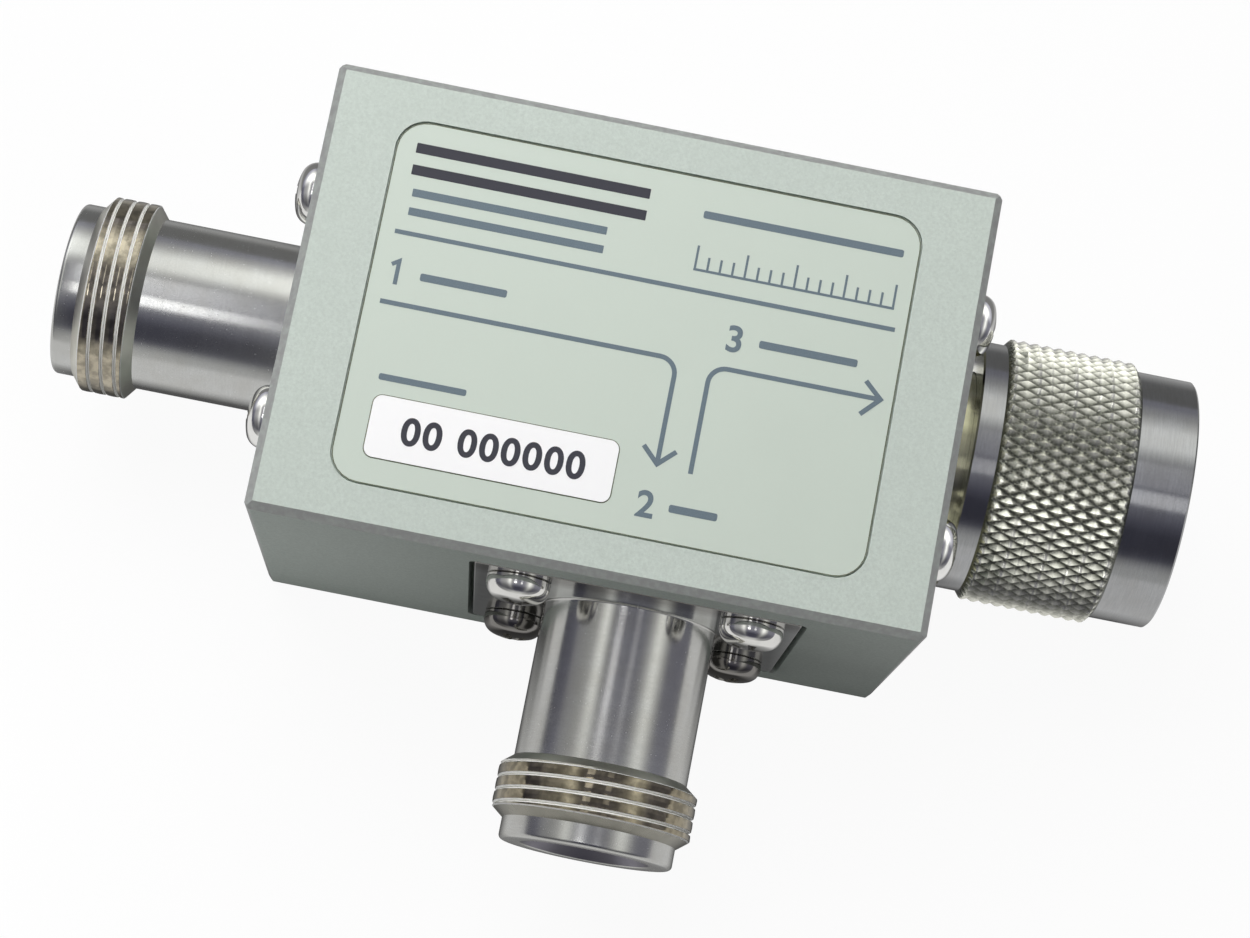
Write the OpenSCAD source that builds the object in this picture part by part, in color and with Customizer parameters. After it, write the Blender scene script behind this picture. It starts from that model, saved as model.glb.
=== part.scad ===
// Return loss bridge: a machined housing with two threaded jacks, one plug with a
// knurled coupling nut, and the bridge circuit inside. Millimetres, +Z out of the label.

/* [Housing] */
// Width of the housing, from the source side to the coupler side
box_w = 52; // [50:0.5:62]
// Height of the housing, from the load side to the side with no connector
box_h = 35.5; // [34.5:0.5:46]
// Depth of the housing, from the rear cover to the label
box_d = 34; // [33:0.5:42]
// Bevel on the edges of the housing's front and back
edge_bevel = 0.6; // [0.2:0.1:0.8]
// Bevel on the upright corners of the housing
corner_bevel = 0.45; // [0.2:0.05:0.8]
// Wall between a flange pocket and the inside
port_wall = 4; // [3:0.5:5]
// Wall of the side with no connector
top_wall = 3; // [2:0.5:4]
// Wall behind the label
front_wall = 3.5; // [2.5:0.5:5]
// Corner radius of the inside
cavity_corner_r = 3; // [2:0.5:3.5]

/* [Rear cover] */
// Thickness of the rear cover
cover_t = 2; // [1.5:0.1:3]
// Rim of the housing round the cover
cover_lip = 1; // [0.9:0.1:1.5]
// Gap between the cover and the rim
cover_gap = 0.2; // [0.1:0.05:0.4]
// Corner radius of the cover
cover_corner_r = 1.5; // [1:0.25:3]
// Distance from a cover screw to the cover's nearest edges
cover_screw_inset = 2.8; // [2.6:0.1:3.2]
// Length of a cover screw that is in the housing
cover_screw_bite = 5; // [3:0.5:8]

/* [Label] */
// Width of the label
label_w = 40.8; // [34:0.2:44]
// Height of the label
label_h = 28.5; // [24:0.5:30]
// Corner radius of the label
label_corner_r = 2.3; // [1:0.1:4]
// Thickness of the label
label_t = 0.3; // [0.2:0.05:0.5]
// Depth of the label's pocket
label_pocket_depth = 0.4; // [0.3:0.05:0.8]
// Gap round the label
label_gap = 0.12; // [0.05:0.01:0.3]
// Width of the number sticker
sticker_w = 18.8; // [12:0.2:24]
// Height of the number sticker
sticker_h = 4.8; // [3:0.1:7]
// Thickness of the number sticker
sticker_t = 0.1; // [0.05:0.01:0.2]
// Corner radius of the number sticker
sticker_corner_r = 0.7; // [0.3:0.1:1.2]
// Distance from the label's left edge to the sticker
sticker_left = 2.3; // [1:0.1:6]
// Distance from the label's lower edge to the sticker
sticker_bottom = 2.1; // [1:0.1:5]

/* [Connector flanges] */
// Side of the square flanges
flange_size = 25.4; // [25:0.1:26.5]
// Thickness of the flanges
flange_t = 2; // [1.5:0.1:3]
// Corner radius of the flanges
flange_corner_r = 0.5; // [0.3:0.1:1.5]
// Gap between a flange and its pocket
flange_gap = 0.4; // [0.2:0.05:0.6]
// Spacing of the flange screws, the same both ways
screw_spacing = 18.26; // [17.6:0.02:19]
// Offset of the load connector from the middle of the housing
load_offset = 4.3; // [-5:0.1:5]
// Clearance between the holes in the walls and the insulators
wall_hole_clearance = 0.1; // [0.05:0.05:0.3]

/* [Screws] */
// Radius of the flange screws
flange_screw_r = 1.25; // [1:0.05:1.5]
// Radius of the flange screws' heads
flange_head_r = 2.5; // [2.2:0.1:3]
// Height of the flange screws' heads
flange_head_h = 2; // [1.5:0.1:2.4]
// Radius of the cover screws and the board screws
small_screw_r = 1; // [0.8:0.05:1.1]
// Radius of the heads of the cover screws and the board screws
small_head_r = 2; // [1.8:0.1:2.2]
// Height of the board screws' heads
small_head_h = 1.5; // [1.2:0.1:1.8]
// Rise of a pan head's crown from its edge to its middle
head_crown = 0.35; // [0.2:0.05:0.5]
// Radius between a pan head's side and its crown
head_edge_r = 0.3; // [0.15:0.05:0.4]
// Clearance between a screw and the piece that it holds down
screw_clearance = 0.2; // [0.1:0.05:0.3]
// Solid left under, and empty thread past the end of, a tapped hole's screw
tap_margin = 0.5; // [0.3:0.1:0.8]
// Width of the slots of a cross recess
recess_slot = 0.5; // [0.4:0.05:0.6]

/* [Coaxial line] */
// Inner radius of the outer conductor, which the insulators fill
line_r = 3.5; // [3.3:0.05:3.7]
// Radius of the centre conductor where the line is in air
centre_r = 1.52; // [1.3:0.02:1.7]
// Radius of the centre conductor inside the insulators
stem_r = 1.05; // [0.9:0.05:1.2]
// Radius of the pins that reach the circuit board
rear_pin_r = 0.65; // [0.5:0.05:0.8]
// Length of the pins inside the housing
rear_pin_len = 3; // [2:0.25:4]
// Radius of the plug's centre pin
plug_pin_r = 0.825; // [0.8:0.005:0.85]
// Clearance between the plug's centre pin and the bore of a jack's contact
pin_clearance = 0.015; // [0.005:0.005:0.05]

/* [Jacks] */
// Radius of the barrel, behind and in front of its thread
barrel_r = 6.93; // [6.6:0.01:7.2]
// Length of the barrel, from the flange's face to its mouth
barrel_len = 19; // [18:0.1:22]
// Crest radius of the thread
thread_r = 7.9375; // [7.8:0.0125:8.1]
// Length of the thread at its full crest
thread_len = 3.35; // [2.5:0.05:5]
// Length of the taper at each end of the thread
thread_taper = 0.8; // [0.4:0.05:1]
// Length of the plain pilot in front of the thread
pilot_len = 1.7; // [1:0.1:2.5]
// Edge break at the mouth's outer edge
mouth_edge = 0.35; // [0.1:0.05:0.5]
// Radius of the mouth at the barrel's face
mouth_r = 5.13; // [4.6:0.01:5.6]
// Depth of the mouth's funnel
mouth_depth = 1.5; // [0.8:0.1:2]
// Clearance between the jack's bore and a plug's outer contact
bore_clearance = 0.05; // [0.02:0.01:0.1]
// Depth of the shoulder that a plug's outer contact meets
mating_depth = 9.1; // [9:0.05:9.3]
// Length of the contact in front of that shoulder
contact_len = 5; // [4.5:0.1:5.5]
// Depth of the contact's bore
contact_bore_depth = 4.2; // [3.5:0.1:4.4]
// Width of the slots in the contact
contact_slot = 0.3; // [0.2:0.05:0.4]

/* [Plug] */
// Radius of the plug's hub, which the coupling nut turns on
hub_r = 7.5; // [7.3:0.05:7.7]
// Length of the hub, from the flange's face to the gasket
hub_len = 6.7; // [6.2:0.1:8]
// Radius of the plug's outer contact
outer_contact_r = 4; // [3.95:0.01:4.05]
// Extra radius of the outer contact where the hub and the gasket sit on it
contact_seat = 0.25; // [0.2:0.05:0.4]
// Length of the outer contact in front of the hub
outer_contact_reach = 10.2; // [9.8:0.1:10.8]
// Radius of the outer contact's collar
collar_r = 5; // [4.6:0.1:5.6]
// Thickness of the outer contact's collar
collar_t = 1.2; // [0.8:0.1:1.4]
// Distance from the outer contact's end back to the centre pin's shoulder
pin_shoulder = 5.3; // [5.2:0.05:5.5]
// Length of the centre pin in front of the outer contact's end
pin_reach = 0.5; // [0.2:0.05:0.8]
// Distance from the outer contact's end back to the insulator's face
plug_air = 7.9; // [7:0.1:9]
// Thickness of the gasket
gasket_t = 1.3; // [1.1:0.1:1.6]
// Radial clearance inside the gasket, and from the hub's edge to its outside
gasket_margin = 0.1; // [0.05:0.05:0.2]

/* [Snap ring] */
// Distance from the flange's face to the snap ring's groove
ring_start = 4.1; // [3.6:0.1:4.5]
// Thickness of the snap ring
ring_t = 0.9; // [0.7:0.1:1.1]
// Width of the snap ring's wire across the ring
ring_w = 1; // [0.8:0.05:1]
// Height of the snap ring above the hub
ring_proud = 0.55; // [0.4:0.05:0.6]
// Gap between the ends of the snap ring
ring_opening = 2; // [1:0.25:4]

/* [Coupling nut] */
// Radius of the nut's plain parts
nut_r = 10.12; // [9.8:0.02:10.4]
// Gap between the housing's side and the nut
nut_gap = 1.8; // [1:0.1:2.2]
// Length of the nut
nut_len = 17.4; // [16.5:0.1:19]
// Running clearance between the nut and the hub
nut_clearance = 0.06; // [0.03:0.01:0.09]
// Axial clearance of the snap ring in the nut
nut_float = 0.05; // [0.03:0.01:0.1]
// Radial clearance outside the snap ring in the nut
ring_clearance = 0.15; // [0.1:0.05:0.3]
// Length of the nut's inner lip in front of the snap ring
nut_lip = 0.75; // [0.5:0.05:1]
// Clearance between the nut's thread and a jack's thread
thread_clearance = 0.06; // [0.03:0.01:0.15]
// Length of the nut's thread
nut_thread_len = 10.2; // [9:0.1:11]
// Depth of the relief behind the nut's thread
nut_relief = 0.4; // [0.2:0.05:0.6]
// Edge breaks of the nut's ends
nut_edge = 0.15; // [0.05:0.05:0.3]
// Funnel at the nut's mouth
nut_funnel = 0.5; // [0.2:0.1:0.9]

/* [Knurl] */
// Length of the plain ring behind the knurl
knurl_start = 2; // [1:0.1:3]
// Length of the knurl with its bevels
knurl_len = 10.8; // [9:0.1:12]
// Length of the bevel at each end of the knurl
knurl_bevel = 0.5; // [0.3:0.05:0.8]
// Crest radius of the knurl
knurl_r = 10.75; // [10.6:0.05:11]
// Depth of the knurl's grooves
knurl_depth = 0.4; // [0.2:0.05:0.45]
// Number of knurl crests round the nut
knurl_count = 64; // [48:1:80]
// Number of knurl crests along the nut
knurl_rows = 5; // [4:1:6]

/* [Circuit board] */
// Thickness of the circuit board
board_t = 1.6; // [0.8:0.1:2]
// Gap between the board's edge and the walls
board_gap = 0.5; // [0.3:0.1:0.8]
// Radius of the posts that carry the board
post_r = 2.5; // [2.2:0.1:3]
// Distance from a post's axis to the nearest walls
post_inset = 4; // [3.5:0.1:4.5]
// Length of a board screw that is in its post
board_screw_bite = 4; // [3:0.25:5]
// Length of a chip resistor
resistor_l = 3.2; // [2:0.2:3.4]
// Width of a chip resistor
resistor_w = 1.6; // [1.2:0.2:2.5]
// Thickness of a chip resistor
resistor_t = 0.6; // [0.4:0.1:0.8]
// Spacing of the chip resistors along the board
resistor_pitch = 4.8; // [4:0.2:5.4]
// Number of chip resistors
resistor_count = 4; // [3:1:4]
// Distance from the load side's wall to the row of resistors
resistor_inset = 8; // [6:0.5:9]

/* [Balun] */
// Radius of the balun's coaxial lead
coax_r = 1.1; // [0.8:0.05:1.3]
// Bend radius of the lead
coax_bend_r = 3; // [2.5:0.1:4]
// Length of the straight part of the lead's legs
coax_leg = 1.25; // [1:0.05:3]
// Distance from the source side's wall to the lead's first leg
coax_left_inset = 11; // [9:0.5:13]
// Distance from the coupler side's wall to the lead's last leg
coax_right_inset = 7; // [6:0.5:10]
// Distance from the plain side's wall to the lead
coax_top_inset = 10.75; // [10.5:0.25:12]
// Outer radius of a ferrite core
core_r = 3.6; // [2.5:0.1:3.8]
// Length of a ferrite core
core_l = 3.8; // [3:0.1:5]
// Gap between the ferrite cores
core_gap = 0.2; // [0.1:0.05:0.5]

/* [Hidden] */

$fn = 96;
// How far a cut runs past the face that it opens, and a form runs into the rest of its solid
cut = 1;
// Reach and depth of a cross recess, as shares of its screw head's radius and height
recess_reach = 0.55;
recess_depth = 0.7;

// Colours
housing_grey = [0.76, 0.80, 0.77];
nickel = [0.80, 0.80, 0.78];
bright_steel = [0.86, 0.86, 0.87];
label_grey = [0.80, 0.82, 0.77];
sticker_white = [0.93, 0.93, 0.90];
insulator_white = [0.94, 0.93, 0.90];
contact_gold = [0.85, 0.68, 0.35];
gasket_black = [0.12, 0.12, 0.13];
board_green = [0.12, 0.38, 0.22];
resistor_black = [0.10, 0.10, 0.11];
ferrite_grey = [0.22, 0.21, 0.21];
coax_copper = [0.78, 0.50, 0.34];

// Inside of the housing
cavity_side = box_w / 2 - flange_t - port_wall;
cavity_low = -box_h / 2 + flange_t + port_wall;
cavity_high = box_h / 2 - top_wall;
cavity_mid = (cavity_low + cavity_high) / 2;
cavity_front = box_d - front_wall;
port_z = box_d / 2;

// Rear cover
cover_w = box_w - 2 * (cover_lip + cover_gap);
cover_h = box_h - 2 * (cover_lip + cover_gap);
cover_screw_x = cover_w / 2 - cover_screw_inset;
cover_screw_y = cover_h / 2 - cover_screw_inset;
cover_hole_r = small_screw_r + screw_clearance;

// Flange screws
flange_tap_depth = port_wall - tap_margin;
flange_screw_bite = flange_tap_depth - tap_margin;

// Coaxial line, measured outward from the face of a flange
wall_depth = flange_t + port_wall;
jack_shoulder = barrel_len - mating_depth;
jack_bore_r = outer_contact_r + bore_clearance;
contact_seat_r = outer_contact_r + contact_seat;
outer_contact_end = hub_len + outer_contact_reach;
plug_pin_step = outer_contact_end - pin_shoulder;
plug_insulator_end = outer_contact_end - plug_air;

// Snap ring and the grooves that hold it
ring_outer_r = hub_r + ring_proud;
ring_inner_r = ring_outer_r - ring_w;
hub_groove_r = hub_r - ring_w;
ring_end = ring_start + ring_t;

// Coupling nut, measured outward from the face of the flange
nut_end = nut_gap + nut_len;
nut_bore_r = hub_r + nut_clearance;
nut_thread_r = thread_r + thread_clearance;
nut_relief_r = nut_thread_r + nut_relief;
nut_thread_start = nut_end - nut_thread_len;
nut_lip_end = ring_end + nut_float + nut_lip;

// Knurl, as rings of points that alternate between crest and groove
knurl_columns = 2 * knurl_count;
knurl_steps = 2 * knurl_rows;
knurl_step_len = (knurl_len - 2 * knurl_bevel) / knurl_steps;
// Height of the knurl's end faces above the nut, and depth of its solid in the nut
knurl_foot = 0.03;
knurl_root = 0.3;

// Circuit board, which lies on the pins of the connectors
board_back = port_z + rear_pin_r;
board_front = board_back + board_t;
board_w = 2 * (cavity_side - board_gap);
board_h = cavity_high - cavity_low - 2 * board_gap;
post_x = cavity_side - post_inset;
post_low = cavity_low + post_inset;
post_high = cavity_high - post_inset;

// Balun
coax_left = -cavity_side + coax_left_inset;
coax_right = cavity_side - coax_right_inset;
coax_y = cavity_high - coax_top_inset;
coax_z = board_back - coax_leg - coax_bend_r;
coax_run = coax_right - coax_left - 2 * coax_bend_r;
core_pitch = core_l + core_gap;
core_count = floor((coax_run + core_gap) / core_pitch);

// Rectangle with round corners, centred
module rounded_rect(w, h, r) {
    square([w - 2 * r, h], center = true);
    square([w, h - 2 * r], center = true);
    for (x = [-1, 1], y = [-1, 1]) {
        translate([x * (w / 2 - r), y * (h / 2 - r)]) circle(r);
    }
}

// Rectangle with bevelled corners, centred
module bevelled_rect(w, h, c) {
    polygon([
        [-w / 2 + c, -h / 2], [w / 2 - c, -h / 2], [w / 2, -h / 2 + c], [w / 2, h / 2 - c],
        [w / 2 - c, h / 2], [-w / 2 + c, h / 2], [-w / 2, h / 2 - c], [-w / 2, -h / 2 + c]
    ]);
}

// Block with all its edges bevelled, the upright ones by their own amount
module bevelled_block(w, h, d, c, upright_c) {
    intersection() {
        linear_extrude(d) bevelled_rect(w, h, upright_c);
        translate([0, h / 2, d / 2]) rotate([90, 0, 0]) linear_extrude(h) bevelled_rect(w, d, c);
        translate([-w / 2, 0, d / 2]) rotate([90, 0, 90]) linear_extrude(w) bevelled_rect(h, d, c);
    }
}

// The three places of a connector: +Z leaves the housing and 0 is the flange's face
module at_source() { translate([-box_w / 2, 0, port_z]) rotate([0, -90, 0]) children(); }
module at_coupler() { translate([box_w / 2, 0, port_z]) rotate([0, 90, 0]) children(); }
module at_load() { translate([load_offset, -box_h / 2, port_z]) rotate([90, 0, 0]) children(); }

// The four corners of a square or a rectangle, for screws and posts
module at_flange_screws() {
    for (x = [-1, 1], y = [-1, 1]) translate([x, y, 0] * screw_spacing / 2) children();
}
module at_cover_screws() {
    for (x = [-1, 1], y = [-1, 1]) translate([x * cover_screw_x, y * cover_screw_y, 0]) children();
}
module at_posts() {
    for (x = [-post_x, post_x], y = [post_low, post_high]) translate([x, y, 0]) children();
}

// Cross recess of a screw head: a cone that four slots cut out, opening at z = 0
module cross_recess(head_r, depth) {
    intersection() {
        translate([0, 0, -depth]) cylinder(h = depth, r1 = recess_slot / 2, r2 = head_r * recess_reach);
        for (turn = [0, 90]) {
            rotate(turn) cube([2 * head_r, recess_slot, 2 * depth], center = true);
        }
    }
}

// Screw with a crowned pan head: the head stands on z = 0 and the shank goes down
module pan_screw(r, shank, head_r, head_h) {
    crown_r = (head_r * head_r + head_crown * head_crown) / (2 * head_crown);
    crown_z = head_h - crown_r;
    edge_x = head_r - head_edge_r;
    edge_z = crown_z + sqrt(pow(crown_r - head_edge_r, 2) - pow(edge_x, 2));
    touch_x = edge_x * crown_r / (crown_r - head_edge_r);
    difference() {
        union() {
            rotate_extrude() {
                square([head_r, edge_z]);
                translate([edge_x, edge_z]) circle(head_edge_r);
                intersection() {
                    square([touch_x, head_h]);
                    translate([0, crown_z]) circle(crown_r);
                }
            }
            translate([0, 0, -shank]) cylinder(h = shank, r = r);
        }
        translate([0, 0, head_h]) cross_recess(head_r, head_h * recess_depth);
    }
}

// Pocket, wall hole and tapped holes that a connector needs in the housing
module port_cuts() {
    pocket = flange_size + 2 * flange_gap;
    translate([0, 0, -flange_t]) {
        linear_extrude(flange_t + cut) rounded_rect(pocket, pocket, flange_corner_r + flange_gap);
    }
    translate([0, 0, -wall_depth - cut]) {
        cylinder(h = port_wall + 2 * cut, r = line_r + wall_hole_clearance);
    }
    at_flange_screws() {
        translate([0, 0, -flange_t - flange_tap_depth]) {
            cylinder(h = flange_tap_depth + cut, r = flange_screw_r);
        }
    }
}

// Square flange with its screw holes, its face at z = 0, bored through
module flange_plate(bore_r) {
    translate([0, 0, -flange_t]) linear_extrude(flange_t) difference() {
        rounded_rect(flange_size, flange_size, flange_corner_r);
        circle(bore_r);
        at_flange_screws() circle(flange_screw_r + screw_clearance);
    }
}

// Jack: the flange and the threaded barrel are turned and milled from one bar
module jack_body() {
    taper_end = barrel_len - pilot_len;
    crest_end = taper_end - thread_taper;
    crest_start = crest_end - thread_len;
    flange_plate(barrel_r - cut);
    rotate_extrude() polygon([
        [line_r, -flange_t],
        [barrel_r, -flange_t],
        [barrel_r, crest_start - thread_taper],
        [thread_r, crest_start],
        [thread_r, crest_end],
        [barrel_r, taper_end],
        [barrel_r, barrel_len - mouth_edge],
        [barrel_r - mouth_edge, barrel_len],
        [mouth_r, barrel_len],
        [jack_bore_r, barrel_len - mouth_depth],
        [jack_bore_r, jack_shoulder],
        [line_r, jack_shoulder]
    ]);
}

// Insulator from the inside of the housing to the given place, with a hole for the stem
module line_insulator(end) {
    translate([0, 0, -wall_depth]) difference() {
        cylinder(h = wall_depth + end, r = line_r);
        translate([0, 0, -cut]) cylinder(h = wall_depth + end + 2 * cut, r = stem_r);
    }
}

// Centre contact of a jack: slotted socket, stem in the insulator and pin to the board
module jack_contact() {
    tip = jack_shoulder + contact_len;
    bore_r = plug_pin_r + pin_clearance;
    difference() {
        rotate_extrude() polygon([
            [0, -wall_depth - rear_pin_len],
            [rear_pin_r, -wall_depth - rear_pin_len],
            [rear_pin_r, -wall_depth],
            [stem_r, -wall_depth],
            [stem_r, jack_shoulder],
            [centre_r, jack_shoulder],
            [centre_r, tip - pin_reach],
            [(centre_r + bore_r) / 2, tip],
            [0, tip]
        ]);
        translate([0, 0, tip - contact_bore_depth]) cylinder(h = contact_bore_depth + cut, r = bore_r);
        for (turn = [0, 90]) {
            rotate(turn) translate([-2 * centre_r, -contact_slot / 2, tip - contact_bore_depth]) {
                cube([4 * centre_r, contact_slot, contact_bore_depth + cut]);
            }
        }
    }
}

// Four flange screws, with their crosses turned differently
module flange_screws() {
    turns = [20, 65, 40, 80];
    for (i = [0:3]) {
        x = i % 2 == 0 ? -1 : 1;
        y = i < 2 ? -1 : 1;
        translate([x, y, 0] * screw_spacing / 2) rotate(turns[i]) {
            pan_screw(flange_screw_r, flange_t + flange_screw_bite, flange_head_r, flange_head_h);
        }
    }
}

// Outside and thread of the coupling nut, before the knurl
module nut_core() {
    rotate_extrude() polygon([
        [nut_bore_r, nut_gap],
        [nut_r - nut_edge, nut_gap],
        [nut_r, nut_gap + nut_edge],
        [nut_r, nut_end - nut_edge],
        [nut_r - nut_edge, nut_end],
        [nut_thread_r + nut_funnel, nut_end],
        [nut_thread_r, nut_end - nut_funnel],
        [nut_thread_r, nut_thread_start],
        [nut_relief_r, nut_thread_start - nut_relief],
        [nut_relief_r, nut_lip_end],
        [nut_bore_r, nut_lip_end],
        [nut_bore_r, ring_end + nut_float],
        [ring_outer_r + ring_clearance, ring_end + nut_float],
        [ring_outer_r + ring_clearance, ring_start - nut_float],
        [nut_bore_r, ring_start - nut_float]
    ]);
}

// Radius of the knurl at ring i and column k, where ring 0 and the last ring are the feet
function knurl_radius(i, k) =
    i == 0 || i == knurl_steps + 2 ? nut_r + knurl_foot
    : knurl_r - ((i + k) % 2 == 0 ? knurl_depth : 0);

// Height of ring i above the foot of the knurl
function knurl_height(i) =
    i == 0 ? 0
    : i == knurl_steps + 2 ? knurl_len
    : knurl_bevel + (i - 1) * knurl_step_len;

// Number of the point at ring i and column k, where the columns close the circle
function knurl_point(i, k) = i * knurl_columns + k % knurl_columns;

// Two triangles between rings i and i + 1, parted along the line that joins two grooves
function knurl_cell(i, k) =
    let (a = knurl_point(i, k), b = knurl_point(i + 1, k),
         c = knurl_point(i + 1, k + 1), d = knurl_point(i, k + 1))
    (i + k) % 2 == 0 ? [[a, b, c], [a, c, d]] : [[a, b, d], [b, c, d]];

// Diamond knurl as one closed solid, which the nut's core and bore then share
module knurl() {
    turn = 360 / knurl_columns;
    last = knurl_steps + 2;
    points = [
        for (i = [0:last], k = [0:knurl_columns - 1])
            let (r = knurl_radius(i, k))
            [r * cos(k * turn), r * sin(k * turn), knurl_height(i)]
    ];
    sides = [for (i = [0:last - 1], k = [0:knurl_columns - 1]) each knurl_cell(i, k)];
    foot = [for (k = [0:knurl_columns - 1]) knurl_point(0, k)];
    top = [for (k = [knurl_columns - 1:-1:0]) knurl_point(last, k)];
    polyhedron(points, concat(sides, [foot, top]));
}

// One end of the balun's lead: a leg up to the board at x = 0 and a bend towards +X
module coax_end() {
    translate([0, 0, coax_z + coax_bend_r]) cylinder(h = coax_leg, r = coax_r);
    translate([coax_bend_r, 0, coax_z + coax_bend_r]) rotate([90, 0, 0]) rotate(180) {
        rotate_extrude(angle = 90) translate([coax_bend_r, 0]) circle(coax_r);
    }
}

// Housing
module housing() {
    color(housing_grey) difference() {
        union() {
            difference() {
                bevelled_block(box_w, box_h, box_d, edge_bevel, corner_bevel);
                translate([0, cavity_mid, -cut]) linear_extrude(cavity_front + cut) {
                    rounded_rect(2 * cavity_side, cavity_high - cavity_low, cavity_corner_r);
                }
                translate([0, 0, -cut]) linear_extrude(cover_t + cut) {
                    rounded_rect(cover_w + 2 * cover_gap, cover_h + 2 * cover_gap,
                                 cover_corner_r + cover_gap);
                }
                translate([0, 0, box_d - label_pocket_depth]) {
                    linear_extrude(label_pocket_depth + cut) {
                        rounded_rect(label_w + 2 * label_gap, label_h + 2 * label_gap,
                                     label_corner_r + label_gap);
                    }
                }
            }
            at_posts() {
                translate([0, 0, board_front]) cylinder(h = cavity_front - board_front + cut, r = post_r);
            }
        }
        at_source() port_cuts();
        at_coupler() port_cuts();
        at_load() port_cuts();
        at_cover_screws() {
            cylinder(h = cover_t + cover_screw_bite + tap_margin, r = small_screw_r);
        }
        at_posts() {
            translate([0, 0, board_front - cut]) {
                cylinder(h = board_screw_bite + tap_margin + cut, r = small_screw_r);
            }
        }
    }
}

// Rear cover
module rear_cover() {
    sink = small_head_r - cover_hole_r;
    color(housing_grey) difference() {
        linear_extrude(cover_t) rounded_rect(cover_w, cover_h, cover_corner_r);
        at_cover_screws() {
            translate([0, 0, -cut]) cylinder(h = cover_t + 2 * cut, r = cover_hole_r);
            translate([0, 0, -cut]) {
                cylinder(h = sink + cut, r1 = small_head_r + cut, r2 = cover_hole_r);
            }
        }
    }
}

// Countersunk screws of the rear cover, flush with it
module cover_screws() {
    head_h = small_head_r - small_screw_r;
    color(bright_steel) at_cover_screws() difference() {
        union() {
            cylinder(h = head_h, r1 = small_head_r, r2 = small_screw_r);
            cylinder(h = cover_t + cover_screw_bite, r = small_screw_r);
        }
        mirror([0, 0, 1]) cross_recess(small_head_r, head_h);
    }
}

// Label on the front
module front_label() {
    color(label_grey) translate([0, 0, box_d - label_pocket_depth]) {
        linear_extrude(label_t) rounded_rect(label_w, label_h, label_corner_r);
    }
}

// Sticker for a number, on the label
module number_sticker() {
    x = -label_w / 2 + sticker_left + sticker_w / 2;
    y = -label_h / 2 + sticker_bottom + sticker_h / 2;
    color(sticker_white) translate([x, y, box_d - label_pocket_depth + label_t]) {
        linear_extrude(sticker_t) rounded_rect(sticker_w, sticker_h, sticker_corner_r);
    }
}

// Source connector
module source_body() { color(nickel) at_source() jack_body(); }
module source_insulator() { color(insulator_white) at_source() line_insulator(jack_shoulder); }
module source_contact() { color(contact_gold) at_source() jack_contact(); }
module source_screws() { color(bright_steel) at_source() flange_screws(); }

// Load connector
module load_body() { color(nickel) at_load() jack_body(); }
module load_insulator() { color(insulator_white) at_load() line_insulator(jack_shoulder); }
module load_contact() { color(contact_gold) at_load() jack_contact(); }
module load_screws() { color(bright_steel) at_load() flange_screws(); }

// Plug of the coupler side: flange and hub, with the snap ring's groove
module coupler_body() {
    color(nickel) at_coupler() {
        flange_plate(hub_r - cut);
        rotate_extrude() polygon([
            [collar_r, -flange_t],
            [hub_r, -flange_t],
            [hub_r, ring_start],
            [hub_groove_r, ring_start],
            [hub_groove_r, ring_end],
            [hub_r, ring_end],
            [hub_r, hub_len],
            [contact_seat_r, hub_len],
            [contact_seat_r, collar_t - flange_t],
            [collar_r, collar_t - flange_t]
        ]);
    }
}

// Outer contact of the plug, whose collar is held between the hub and the housing
module coupler_outer_contact() {
    edge = (outer_contact_r - line_r) / 2;
    color(nickel) at_coupler() rotate_extrude() polygon([
        [line_r, -flange_t],
        [collar_r, -flange_t],
        [collar_r, collar_t - flange_t],
        [contact_seat_r, collar_t - flange_t],
        [contact_seat_r, hub_len + gasket_t],
        [outer_contact_r, hub_len + gasket_t],
        [outer_contact_r, outer_contact_end - edge],
        [outer_contact_r - edge, outer_contact_end],
        [line_r, outer_contact_end]
    ]);
}

module coupler_insulator() { color(insulator_white) at_coupler() line_insulator(plug_insulator_end); }

// Centre conductor of the plug: pin, shoulder, stem in the insulator and pin to the board
module coupler_pin() {
    tip = outer_contact_end + pin_reach;
    color(contact_gold) at_coupler() rotate_extrude() polygon([
        [0, -wall_depth - rear_pin_len],
        [rear_pin_r, -wall_depth - rear_pin_len],
        [rear_pin_r, -wall_depth],
        [stem_r, -wall_depth],
        [stem_r, plug_insulator_end],
        [centre_r, plug_insulator_end],
        [centre_r, plug_pin_step],
        [plug_pin_r, plug_pin_step],
        [plug_pin_r, tip - plug_pin_r],
        [plug_pin_r / 3, tip],
        [0, tip]
    ]);
}

// Coupling nut, with its knurl round the outside
module coupling_nut() {
    color(nickel) at_coupler() {
        nut_core();
        translate([0, 0, nut_gap + knurl_start]) difference() {
            knurl();
            translate([0, 0, -cut]) cylinder(h = knurl_len + 2 * cut, r = nut_r - knurl_root);
        }
    }
}

// Gasket that the face of a mating jack presses on
module coupler_gasket() {
    color(gasket_black) at_coupler() translate([0, 0, hub_len]) linear_extrude(gasket_t) difference() {
        circle(hub_r - gasket_margin);
        circle(contact_seat_r + gasket_margin);
    }
}

// Open ring that keeps the coupling nut on the hub
module coupler_snap_ring() {
    color(bright_steel) at_coupler() translate([0, 0, ring_start]) linear_extrude(ring_t) difference() {
        circle(ring_outer_r);
        circle(ring_inner_r);
        translate([0, -ring_opening / 2]) square([2 * ring_outer_r, ring_opening]);
    }
}

module coupler_screws() { color(bright_steel) at_coupler() flange_screws(); }

// Circuit board of the bridge
module circuit_board() {
    color(board_green) translate([0, 0, board_back]) linear_extrude(board_t) difference() {
        translate([0, cavity_mid]) rounded_rect(board_w, board_h, cavity_corner_r - board_gap);
        at_posts() circle(small_screw_r + screw_clearance);
    }
}

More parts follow.
